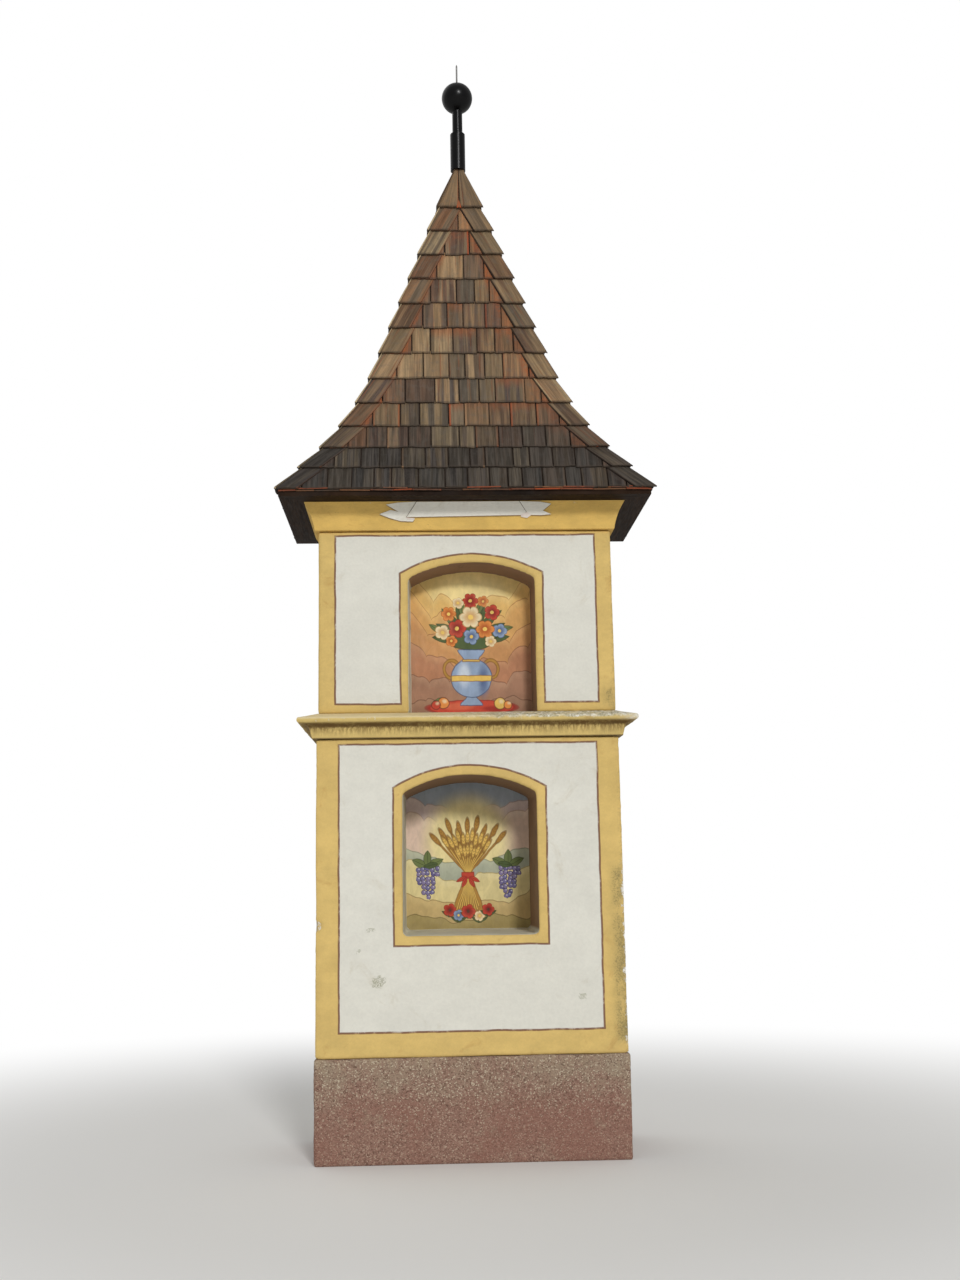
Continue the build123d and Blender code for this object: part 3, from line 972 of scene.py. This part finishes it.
def woodTone(course, nearHip):
    # random colour pick, freshness and darkness of one board
    dark = {1: 0.95, 2: 0.9, 3: 0.6, 4: 0.3}.get(course, chance.uniform(0, 0.15))
    fresh = max(nearHip * chance.uniform(0.3, 1), chance.uniform(0, 0.62) ** 2)
    fresh *= {1: 0.2, 2: 0.2, 11: 0.4, 12: 0.7}.get(course, 0.85)
    return chance.random(), fresh, min(1, max(0, dark + chance.uniform(-0.1, 0.1)))


def sideRim():
    # now and then one edge of a board is freshly split, and shows orange or brown
    left, right = (chance.uniform(0.3, 0.8) if chance.random() < 0.12 else 0 for _ in range(2))
    return left, right, 0, chance.choice((0.3, 0.45, 0.6))


def layRow(face, number, low, high, joints):
    course = Course(face, low, high)
    butt, head = roofRows["butt"], roofRows["head"]
    run = roofRows["inset"] - course.reach(False, butt)
    widths, newJoints = splitWidths(-2 * run, *roofRows["widths"], joints)
    overlap = course.slope * roofRows["overlap"]
    laid = []
    for width in widths:
        gap = chance.uniform(0.5, 1.7) * roofRows["gap"]
        slip = chance.uniform(*roofRows["slip"]) * (2 if number == 1 else 1)
        lift = butt + chance.uniform(*roofRows["lift"])
        skew = chance.uniform(*roofRows["skew"])
        a, b = run + gap, run + width - gap
        corners = (course.point(a, False, lift) + course.slope * (slip + skew),
                   course.point(b, False, lift) + course.slope * (slip - skew),
                   course.point(a, True, head) + overlap, course.point(b, True, head) + overlap)
        beyondHip = course.reach(False) - hipRows["width"] - abs(a + b) / 2
        nearHip = min(1, max(0, 1 - beyondHip / hipRows["orangeReach"]))
        # the stain beside the hips is narrower on the left of a face and in the last rows
        away = [course.reach(atHead) - hipRows["width"] - abs(along) + (0.016 if along < 0 else 0)
                + (0.012 if number > 10 else 0) for atHead in (False, True) for along in (a, b)]
        laid.append(layBoard(corners, course.normal, chance.uniform(*roofRows["thick"]),
                             woodTone(number, nearHip), sideRim(), away))
        run += width
    row = joinPieces(f"row{number}{face}", laid)
    # trim the row inside both hips, where the hip boards cover it
    startEdit(row)
    for end in (1, -1):
        foot, tip = (course.point(end * course.reach(atHead), atHead, 0) for atHead in (False, True))
        outward = Vector((tip.y - foot.y, foot.x - tip.x, 0)).normalized()
        if outward.dot(course.axis * end) < 0:
            outward.negate()
        bpy.ops.mesh.select_all(action="SELECT")
        bpy.ops.mesh.bisect(plane_co=foot - outward * roofRows["trim"], plane_no=outward, use_fill=True,
                            clear_outer=True)
    endEdit()
    return row, newJoints


def overHips(course, grow):
    # how far boards that lie on the hips reach at butt and head, and the lifts of their tops
    ends = []
    for atHead, end, out in ((False, "butt", grow[0]), (True, "head", grow[1])):
        lift = roofRows[end] + hipRows[end]
        ends.append((course.reach(atHead, lift) + out, lift))
    return ends


def layHipBoard(face, end, number, low, high):
    course = Course(face, low, high)
    over = hips[(face, end)][1]
    (butt, topButt), (head, topHead) = overHips(course, hipRows["over" if over else "under"])
    inward = course.axis * -end * hipRows["width"] * chance.uniform(0.96, 1.04)
    foot = course.point(end * butt, False, topButt)
    tip = course.point(end * head, True, topHead)
    foot += (foot - tip).normalized() * chance.uniform(-0.002, 0.003)
    tip += (tip - foot).normalized() * hipRows["overlap"]
    corners = (foot, foot + inward, tip, tip + inward)
    # a dark line along the inner edge on the right of a face, painted shade where the hip board's edge is in
    # shade; lapping edges of the side faces are pale
    rim, paleRim = (0, 0.25, 0, 0.45), (0.9, 0, 0, 1)
    if end > 0:
        corners = (foot + inward, foot, tip + inward, tip)
        rim, paleRim = (0.95, 0, 0, 0), (0, 0.9, 0, 1)
    if over and face in ("left", "right"):
        rim = paleRim
    tone = woodTone(number, 0.1)
    return layBoard(corners, course.normal, chance.uniform(*hipRows["thick"]), tone, rim)


def layCap(face, low, high):
    # two boards on each face that meet in a seam under the finial
    course = Course(face, low, high)
    laid = []
    for end in (-1, 1):
        grow = hipRows["capOver" if hips[(face, end)][1] else "under"]
        (butt, topButt), (head, topHead) = overHips(course, grow)
        seam = end * hipRows["seam"]
        points = [course.point(seam, False, topButt), course.point(end * butt, False, topButt),
                  course.point(seam, True, topHead), course.point(end * head, True, topHead)]
        rim = (0.7, 0, 0, 0)
        if end < 0:
            points = [points[1], points[0], points[3], points[2]]
            rim = (0, 0.25, 0, 0.3)
        tone = (chance.uniform(0.15, 0.45), 0.15, 0.1)
        laid.append(layBoard(points, course.normal, hipRows["capThick"], tone, rim))
    # a wedge of fresh wood shows where the seam opens at the butt
    wedge = [course.point(side * half, False, topButt + lift) + course.slope * up
             for half, lift, up in ((0.012, 0.0012, -0.007), (0.0008, 0.0008, 0.034)) for side in (-1, 1)]
    laid.append(layBoard(wedge, course.normal, 0.005, (0.9, 1, 0), (0.8, 0.8, 0.4, 0.3)))
    return laid


def layStarter():
    # two thin layers of short boards round the eave, under the first course
    *halves, level = stations[0]
    laid = []
    for layer, rise in enumerate(eave["layers"]):
        for axis, out, side in faces.values():
            run = -halves[side] - eave["out"]
            for width in splitWidths(-2 * run, *eave["widths"])[0]:
                stick = eave["out"] + chance.uniform(-0.004, 0.005) + 0.002 * layer
                a, b = axis * (run + eave["gap"]), axis * (run + width - eave["gap"])
                outer = out * (halves[1 - side] + stick)
                inner = out * (halves[1 - side] - eave["inward"])
                top = Vector((0, 0, level - eave["foot"] + rise + chance.uniform(-0.0006, 0.0006)))
                tip = Vector((0, 0, chance.uniform(-0.0012, 0.0012)))
                corners = (a + outer + top + tip, b + outer + top - tip, a + inner + top, b + inner + top)
                tone = (chance.random(), 0.5, 0.6)
                rim = (0.3, 0.3, chance.uniform(0.1, 0.9), chance.choice((0, 0.3, 0.3, 0.5)))
                laid.append(layBoard(corners, Vector((0, 0, 1)), eave["thick"], tone, rim))
                run += width
    return laid


def shingleMaterial():
    newMaterial("weatheredShingles")
    place, tint, rims, gap = (outputsOf(addNode("Attribute", attribute_name=name))
                              for name in boardShape["attributes"])
    place, away, kind = place["Vector"], gap["Fac"], rims["Alpha"]
    tone, fresh, dark = apart(tint["Color"])
    rimLeft, rimRight, rimButt = apart(rims["Color"])
    x, y, z = apart(place)
    grain = woodGrain(place)
    streaks = fade(grain["Streaks"], 0.4, 0.6)
    # two tones in broad stripes along the board
    stops = ((0, (92, 84, 74)), (0.2, (114, 98, 78)), (0.4, (142, 120, 90)), (0.55, (100, 79, 62)),
             (0.72, (86, 77, 71)), (0.86, (166, 144, 110)), (1, (118, 83, 60)))
    stripes = cloud(stretch(place, (34, 1.1, 1)), 1, 2, 0.5)
    wood = blend(fade(stripes, 0.44, 0.58), colourRun(tone, *stops),
                 colourRun(calc("FRACT", tone * 7.31), *stops))
    rust = fade(cloud(stretch(place, (70, 2, 1), (0, 0, 9)), 1, 3, 0.6), 0.58, 0.68, 0, 0.6) * (1 - dark)
    # fresh wood at the head of some boards, close under the next course
    head = (fade(calc("FRACT", tone * 3.7), 0.66, 0.8, 0, 0.9) * fade(y + stripes * 0.07, 0.1, 0.17)
            * (away < 0.99) * fade(dark, 0.3, 0.9, 0.62, 0.05))
    wood = coat(wood, (fresh * (0.45 + streaks * 0.55), (150, 94, 56)), (rust, (128, 76, 50)),
                (head, (156, 92, 56)), (dark * 0.92, blend(streaks, (46, 45, 43), (62, 60, 58))))
    wood = shade(wood, fade(grain["Streaks"], 0.34, 0.66, 0.72, 1.19)
                 * fade(grain["Fine"], 0.3, 0.7, 0.86, 1.12))
    greyed = fade(cloud(place, 30, 4, 0.6), 0.48, 0.68, 0, 0.3)
    # orange stain beside the hip boards, on some boards more than on others
    stain = (fade(away, 0.03, 0) * fade(cloud(place, 45, 4, 0.7), 0.36, 0.6, 0.25, 1)
             * fade(dark, 0.3, 0.9, 0.66, 0.04) * fade(calc("FRACT", tone * 5.3), 0.25, 0.8, 0.3, 1))
    # edges: a dark joint, and an orange, brown, pale or dark rim where the board's attribute asks for one;
    # the dark rim along the inner edge of the right hip boards is painted shade
    fromLeft, fromRight = tint["Alpha"] + x, tint["Alpha"] - x
    joint = fade(calc("MINIMUM", fromLeft, fromRight), 0.0045, 0.0008, 0, 0.6)
    butt = fade(y + grain["Fine"] * 0.004, 0.014, 0.006, 0, 0.55)
    rim = most(rimLeft * fade(fromLeft, 0.01, 0.0062), rimRight * fade(fromRight, 0.01, 0.0062),
               rimButt * fade(y, 0.01, 0.004)) * fade(grain["Fine"], 0.25, 0.6, 0.55, 1)
    # the bright rims have gone dull on the dark boards of the lowest rows, but not at their butts
    dulled = fade(dark, 0.35, 0.85, 0, 0.8) * fade(y, 0, 0.012) * (kind > 0.2)
    rimColour = colourRun(kind, (0.12, (30, 21, 16)), (0.25, (170, 78, 42)), (0.38, (170, 78, 42)),
                          (0.5, (140, 92, 58)), (0.85, (188, 168, 134)))
    wood = coat(wood, (greyed, blend(dark, (106, 98, 88), (70, 67, 63))), (stain, (154, 86, 50)),
                (joint, (48, 38, 30)), (butt, (70, 61, 53)), (rim * (1 - dulled), rimColour))
    return finish(wood, fade(grain["Streaks"], 0.3, 0.7, 0.72, 0.9), 0.12, grain["Height"], 0.0024)


shingleFinish = shingleMaterial()


def closeRoofPiece(name, laid, node, smoothing=35):
    piece = joinPieces(name, laid)
    turnOutwards(piece)
    if smoothing:
        smoothPiece(piece, smoothing)
    hand(piece, shingleFinish, "shingle", node)


def coverRoof():
    joints = {face: () for face in faces}
    hipBoards = {"front_right": [], "front_left": [], "back_right": [], "back_left": []}
    for number in range(1, len(stations) - 1):
        low, high = stations[number - 1:number + 1]
        rows = []
        for face in faces:
            row, joints[face] = layRow(face, number, low, high, joints[face])
            rows.append(row)
            for end in (-1, 1):
                hipBoards[hips[(face, end)][0]].append(layHipBoard(face, end, number, low, high))
        closeRoofPiece(f"shingleRow{number:02d}", rows, f"shingle_course_{number:02d}")
    for corner, laid in hipBoards.items():
        closeRoofPiece("hipBoards_" + corner, laid, "hip_" + corner)
    capBoards = [board for face in faces for board in layCap(face, *stations[-2:])]
    closeRoofPiece("capBoards", capBoards, "roof_cap")
    closeRoofPiece("eaveLayers", layStarter(), "starter_course", 0)


coverRoof()
for board in boards:
    bpy.data.objects.remove(board)
print("roof covered")


# dark boards, deck and finial, whose shapes are the frame's own; the soffit's dark colour is partly painted
# shade

def darkBoardMaterial(name, along, colour, deep):
    place = newMaterial(name)
    if along == "x":
        x, y, z = apart(place)
        place = together(y, x, z)
    grain = woodGrain(place)
    wood = blend(fade(grain["Streaks"], 0.3, 0.7), deep, colour)
    wood = blend(fade(cloud(place, 9, 5, 0.7), 0.5, 0.75, 0, 0.3), wood, (68, 47, 30))
    return finish(wood, fade(grain["Fine"], 0.3, 0.7, 0.6, 0.8), 0.1, grain["Height"], 0.0015)


def glossBlack():
    place = newMaterial("glossBlackPaint")
    dust = fade(cloud(place, 18, 5, 0.7), 0.5, 0.8, 0, 0.3)
    return finish(blend(dust, (7, 7, 8), (26, 25, 24)), fade(dust, 0, 0.3, 0.28, 0.42), 0.18,
                  cloud(place, 22, 2, 0.5), 0.0003, 0.15)


def greyRod():
    rust = fade(cloud(newMaterial("dullGreyRod"), 60, 4, 0.6), 0.4, 0.7)
    return finish(blend(rust, (128, 128, 126), (84, 78, 70)), 0.45, metallic=0.7)


# soffit boards and wall plate: dark brown wood, darkened further as painted shade under the eaves
darkWoodWithPaintedShade = ((46, 30, 18), (25, 16, 10))
for material, dressed in (
        (darkBoardMaterial("darkBoardAlongX", "x", *darkWoodWithPaintedShade), ("soffit_front", "soffit_back", "wall_plate")),
        (darkBoardMaterial("darkBoardAlongY", "y", *darkWoodWithPaintedShade), ("soffit_left", "soffit_right")),
        (darkBoardMaterial("deckWood", "x", (52, 42, 34), (34, 27, 22)), ("roof_deck",)),
        (glossBlack(), ("finial_sleeve", "finial_ball")), (greyRod(), ("finial_spike",))):
    for node in dressed:
        giveMaterial(nodes[node], material)


# pictures at the back of the niches

artPaint = {
    "leafDark": (84, 98, 62), "leaf": (112, 124, 76), "leafLine": (58, 66, 44), "red": (194, 76, 58),
    "redDeep": (140, 46, 42), "orange": (222, 142, 74), "orangeDeep": (176, 92, 48),
    "cream": (232, 216, 176), "creamDeep": (206, 164, 110), "blue": (146, 164, 190),
    "blueDeep": (92, 108, 142), "blueLine": (70, 82, 106), "gold": (224, 186, 98),
    "goldDeep": (176, 132, 66), "goldLine": (136, 98, 52), "heart": (232, 196, 104), "dark": (96, 58, 46)}


@nodeGroup("Place Colour")
def brushwork(place, colour):
    # paint laid on with a brush: mottling, short strokes and a little dust
    strokes = cloud(stretch(place, (34, 34, 16), (2, 0, 5)), 1, 4, 0.65, 1)
    broad = cloud(place, 9, 4, 0.6, 0.8)
    light = fade(strokes, 0.3, 0.7, 0.93, 1.06) * fade(broad, 0.3, 0.7, 0.93, 1.07)
    dusty = fade(cloud(place, 3.5, 5, 0.7), 0.5, 0.75, 0, 0.18)
    return {"Colour": blend(dusty, shade(colour, light), (200, 182, 154)),
            "Height": strokes + cloud(place, 190, 2) * 0.3}


@nodeGroup("Across Upward X Z Turn Length Width")
def brushLeaf(across, upward, x, z, turn, length, width):
    # a pointed leaf with its outline and middle vein
    dx, dz = across - x, upward - z
    sine, cosine = calc("SINE", turn), calc("COSINE", turn)
    share = (dx * sine + dz * cosine) / length
    beside = abs(dx * cosine - dz * sine)
    beyond = beside - width * (1 - share * share)
    vein = fade(beside, 0.0018, 0.0008) * fade(beyond, 0, -0.002)
    return {"Leaf": fade(beyond, 0.001, -0.001), "Rim": most(fade(abs(beyond), 0.0022, 0.001), vein)}


@nodeGroup("Across Upward X Z Size Petals")
def brushBlossom(across, upward, x, z, size, petals):
    # a round flower with scalloped petals: its shape, outline, heart and how deep towards the heart
    dx, dz = across - x, upward - z
    length = lengthOf(dx, dz) / size
    petal = abs(calc("COSINE", calc("ARCTAN2", dz, dx) * petals * 0.5))
    edge = 0.66 + calc("SQRT", petal) * 0.34
    beyond = length - edge
    between = fade(petal, 0.16, 0.06) * fade(beyond, 0, -0.05)
    return {"Blossom": fade(beyond, 0.03, -0.03), "Rim": most(fade(abs(beyond), 0.07, 0.03), between),
            "Heart": fade(length, 0.26, 0.2), "Depth": fade(length, edge, 0.2)}


class Painting:
    # lays one painted shape over another on a panel: distances are metres outside a shape
    def __init__(self, name, node, *background):
        self.place = newMaterial(name)
        (lowX, _, lowZ), (highX, _, highZ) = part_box(node)
        x, _, z = apart(self.place)
        waver = cloud(self.place, 18, 3, 0.6) - 0.5
        self.x = x - (lowX + highX) / 2 + waver * 0.01
        self.z = z - lowZ - waver * 0.009
        self.colour = colourRun(fade(self.z, 0, highZ - lowZ), *background)

    def tint(self, mask, colour, amount=1):
        self.colour = blend(mask * amount, self.colour, artPaint.get(colour, colour))

    def lay(self, distance, colour, line=None, soft=0.0015, amount=1):
        self.tint(fade(distance, soft, -soft), colour, amount)
        if line:
            self.tint(fade(abs(distance), 0.0032, 0.0014), line, 0.7)

    def disc(self, x, z, radiusX, radiusZ, *paints, ring=0, **manner):
        # a full disc, or a ring with this half width
        length = lengthOf((self.x - x) / radiusX, (self.z - z) / radiusZ)
        distance = (length - 1) * min(radiusX, radiusZ)
        self.lay(abs(distance) - ring if ring else distance, *paints, **manner)

    def bar(self, low, high, halfLow, halfHigh, *paints, **manner):
        # an upright shape from one level to another, wider or narrower at its top
        beside = abs(self.x) - fade(self.z, low, high, halfLow, halfHigh)
        self.lay(most(beside, self.z - high, low - self.z), *paints, **manner)

    def bank(self, level, rise, puff, seed, colour, line, light):
        # a bank of cloud or a hill: its upper edge is scalloped by puff and swings up towards both sides
        sway = cloud(together(self.x * 6, seed, 0), 1, 2, 0.5)
        arcs = abs(calc("SINE", self.x * 27 + sway * 4)) ** 0.6
        distance = self.z - (arcs * puff + sway * 0.16 + (level - 0.08 + self.x * self.x * rise))
        self.lay(distance, colour, line)
        self.tint(fade(distance, -0.045, -0.006) * fade(distance, 0, -0.004), light, 0.55)

    def leaf(self, x, z, turn, length, width, colour="leaf", line="leafLine"):
        shape = brushLeaf(self.x, self.z, x, z, math.radians(turn), length, width)
        self.tint(shape["Leaf"], colour)
        self.tint(shape["Rim"], line, 0.6)

    def leavesRound(self, x, z, reachX, reachZ, turns, *leaf, lean=0):
        for turn in turns:
            side = math.radians(turn)
            self.leaf(x + reachX * math.sin(side), z + reachZ * math.cos(side), turn + lean, *leaf)

    def blossom(self, x, z, size, petals, colour, heart="heart"):
        shape = brushBlossom(self.x, self.z, x, z, size, petals)
        deep = artPaint[colour + "Deep"]
        self.tint(shape["Blossom"], blend(shape["Depth"], artPaint[colour], deep))
        self.tint(shape["Rim"], deep, 0.75)
        self.tint(shape["Heart"], heart)

    def berries(self, x, top, half, length, scale, line, *stops):
        # a hanging bunch: round berries whose middles lie inside a wedge
        flat = cells(together(self.x, self.z, 0), scale, 0.4, voronoi_dimensions="2D")
        middleX, middleZ, _ = apart(flat["Position"])
        share = (top - middleZ) / length
        wedge = half * calc("SQRT", most(0, 1 - share))
        inside = (abs(middleX - x) < wedge) * (share > 0)
        self.tint(inside * fade(flat["Distance"], 0.6, 0.54), line)
        self.tint(inside * fade(flat["Distance"], 0.5, 0.42), colourRun(apart(flat["Color"])[0], *stops))
        shineX, shineZ = self.x - middleX - 0.16 / scale, self.z - middleZ - 0.16 / scale
        shine = fade(shineX * shineX + shineZ * shineZ, (0.2 / scale) ** 2, (0.08 / scale) ** 2)
        self.tint(inside * shine, (206, 204, 214), 0.8)

    def sheaf(self, z, way, count, spread, length, ear, colour, line="goldLine"):
        # stalks that spread from a tie, upwards or downwards, with or without ears at their ends
        dz = (self.z - z) * way
        step = 2 * math.radians(spread) / (count - 1)
        turn = calc("ARCTAN2", self.x, dz)
        reach = lengthOf(self.x, dz)
        number = calc("ROUND", turn / step)
        across = reach * (turn - number * step)
        ends = length * (1 + calc("SINE", number * 2.3) * 0.07)
        within = abs(number) - count / 2
        self.lay(most(abs(across) - 0.0036, reach - ends, within), colour, line)
        if ear:
            long, wide = ear
            shape = most((lengthOf((reach - ends) / long, across / wide) - 1) * wide, within)
            self.lay(shape, colour, line)
            ribs = calc("SINE", reach * 420 - abs(across) * 420)
            self.tint(fade(ribs, 0.2, 0.9) * fade(shape, 0, -0.002), line, 0.45)

    def done(self):
        strokes = brushwork(self.place, self.colour)
        return finish(strokes["Colour"], 0.82, 0.2, strokes["Height"], 0.001, 0.8)


def paintUrn():
    # golden clouds over rust-coloured ones, and a blue urn full of blossoms on a red cloth
    art = Painting("urnPainting", "upper_picture", (0, (208, 160, 94)), (0.6, (222, 186, 114)),
                   (1, (230, 200, 128)))
    art.disc(0, 0.45, 0.21, 0.2, (238, 216, 152), soft=0.06)
    for bank in ((0.5, 1.6, 0.04, 1.3, (222, 182, 112), (184, 134, 80), (236, 206, 138)),
                 (0.4, 1.7, 0.044, 4.1, (212, 164, 102), (168, 116, 72), (228, 190, 122)),
                 (0.3, 1.6, 0.042, 7.7, (198, 146, 96), (152, 102, 70), (216, 170, 114)),
                 (0.21, 1.2, 0.038, 2.9, (180, 128, 96), (134, 90, 68), (198, 150, 110)),
                 (0.12, 0.9, 0.032, 9.2, (164, 124, 100), (122, 88, 70), (182, 144, 116)),
                 (0.04, 0.3, 0.018, 5.5, (152, 116, 94), (110, 82, 66), (168, 132, 106))):
        art.bank(*bank)
    art.disc(0, 0.04, 0.2, 0.034, "red", "redDeep")
    art.disc(-0.06, 0.046, 0.07, 0.016, (208, 104, 76), soft=0.006)
    art.disc(0.1, 0.034, 0.05, 0.012, "redDeep", soft=0.006, amount=0.7)
    art.leavesRound(0, 0.345, 0.115, 0.115, range(-84, 85, 21), 0.062, 0.02, "leafDark")
    art.leavesRound(0, 0.35, 0.165, 0.15, range(-70, 71, 28), 0.04, 0.013, lean=12)
    art.disc(0, 0.365, 0.115, 0.062, "leafDark", "leafLine")
    for side in (-1, 1):
        art.disc(side * 0.088, 0.215, 0.034, 0.04, "goldDeep", "goldLine", ring=0.006)
    art.bar(0.05, 0.096, 0.05, 0.018, "blue", "blueLine")
    art.disc(0, 0.175, 0.092, 0.088, "blue", "blueLine")
    art.disc(-0.032, 0.192, 0.026, 0.05, (198, 208, 220), soft=0.014)
    art.disc(0.056, 0.165, 0.02, 0.06, "blueDeep", soft=0.016)
    art.bar(0.16, 0.186, 0.09, 0.091, "gold", "goldLine")
    art.bar(0.254, 0.304, 0.032, 0.06, "blue", "blueLine")
    art.bar(0.25, 0.259, 0.038, 0.038, "gold", "goldLine")
    for blossom in ((-0.128, 0.385, 0.034, 5, "cream"), (0.132, 0.39, 0.033, 5, "blue"),
                    (-0.1, 0.47, 0.034, 6, "orange"), (0.098, 0.476, 0.036, 5, "red"),
                    (0, 0.53, 0.036, 6, "red"), (-0.056, 0.52, 0.026, 5, "cream"),
                    (0.058, 0.528, 0.026, 5, "orange"), (-0.062, 0.402, 0.042, 5, "red"),
                    (0.066, 0.398, 0.042, 6, "orange"), (0, 0.455, 0.05, 6, "cream"),
                    (0.002, 0.365, 0.036, 5, "blue"), (-0.088, 0.345, 0.026, 5, "orange"),
                    (0.09, 0.342, 0.026, 5, "cream")):
        art.blossom(*blossom)
    art.leaf(-0.15, 0.072, 70, 0.036, 0.012)
    for x, z, size, colour in ((-0.128, 0.062, 0.025, "orange"), (-0.162, 0.054, 0.02, "red"),
                               (0.128, 0.058, 0.026, "gold"), (0.164, 0.05, 0.018, "orange")):
        art.disc(x, z, size, size, colour, "dark")
        art.disc(x + 0.006, z + 0.008, size * 0.4, size * 0.35, "cream", soft=0.005, amount=0.7)
    return art.done()


def paintHarvest():
    # pale sky and a cream glow behind a golden sheaf, with grapes on both sides and poppies at its foot
    art = Painting("harvestPainting", "lower_picture", (0, (214, 190, 150)), (0.4, (228, 212, 164)),
                   (0.6, (212, 206, 186)), (0.8, (178, 184, 188)), (1, (160, 170, 180)))
    art.bank(0.52, 0.9, 0.03, 6.1, (206, 186, 180), (170, 146, 140), (224, 208, 198))
    art.bank(0.44, 1.1, 0.03, 2.2, (222, 196, 176), (182, 150, 128), (234, 216, 196))
    art.disc(0, 0.4, 0.19, 0.2, (234, 218, 160), soft=0.05)
    for bank in ((0.31, 0.5, 0.006, 3.3, (176, 180, 158), (128, 134, 112), (196, 198, 172)),
                 (0.23, 0.9, 0.004, 8.1, (222, 206, 150), (178, 154, 98), (236, 222, 172)),
                 (0.13, 0.4, 0.006, 1.7, (198, 172, 118), (146, 118, 74), (214, 190, 134)),
                 (0.05, 0.2, 0.004, 5.9, (158, 140, 90), (112, 98, 62), (176, 158, 104))):
        art.bank(*bank)
    art.bar(0.245, 0.4, 0.02, 0.105, "goldDeep", soft=0.004)
    art.bar(0.085, 0.25, 0.066, 0.02, "goldDeep", "goldLine")
    art.sheaf(0.245, 1, 9, 42, 0.225, (0.034, 0.0105), "goldDeep")
    art.sheaf(0.245, 1, 11, 34, 0.17, (0.032, 0.0095), "gold")
    art.sheaf(0.245, -1, 11, 19, 0.16, None, "gold")
    art.sheaf(0.245, 1, 7, 22, 0.115, (0.028, 0.0085), "gold")
    art.bar(0.23, 0.258, 0.028, 0.028, "red", "redDeep")
    art.leavesRound(0, 0.243, 0.034, 0.034, (-118, 118, -152, 152), 0.026, 0.009, "red", "redDeep")
    for side in (-1, 1):
        for turn, reach in ((-64, 0.04), (0, 0.036), (64, 0.04)):
            art.leavesRound(side * 0.185, 0.285, reach, reach, (turn,), 0.04, 0.018)
        art.berries(side * 0.185, 0.285, 0.054, 0.15, 48, (66, 58, 92), (0.2, (112, 108, 150)),
                    (0.6, (136, 124, 158)), (1, (96, 90, 134)))
        art.leaf(side * 0.17, 0.292, side * 100, 0.034, 0.014, "leafDark")
    for x, z, size, kind in ((-0.085, 0.09, 0.03, "red"), (-0.045, 0.065, 0.024, "blue"),
                             (0, 0.082, 0.032, "red"), (0.05, 0.062, 0.024, "cream"),
                             (0.09, 0.09, 0.028, "red")):
        for side in (-1, 1):
            art.leaf(x + side * 0.014, z - 0.018, side * 60, 0.026, 0.008, "leafDark")
        art.blossom(x, z, size, 5, kind, "dark" if kind == "red" else "heart")
    return art.done()


giveMaterial(nodes["lower_picture"], paintHarvest())
giveMaterial(nodes["upper_picture"], paintUrn())
print("pictures painted")
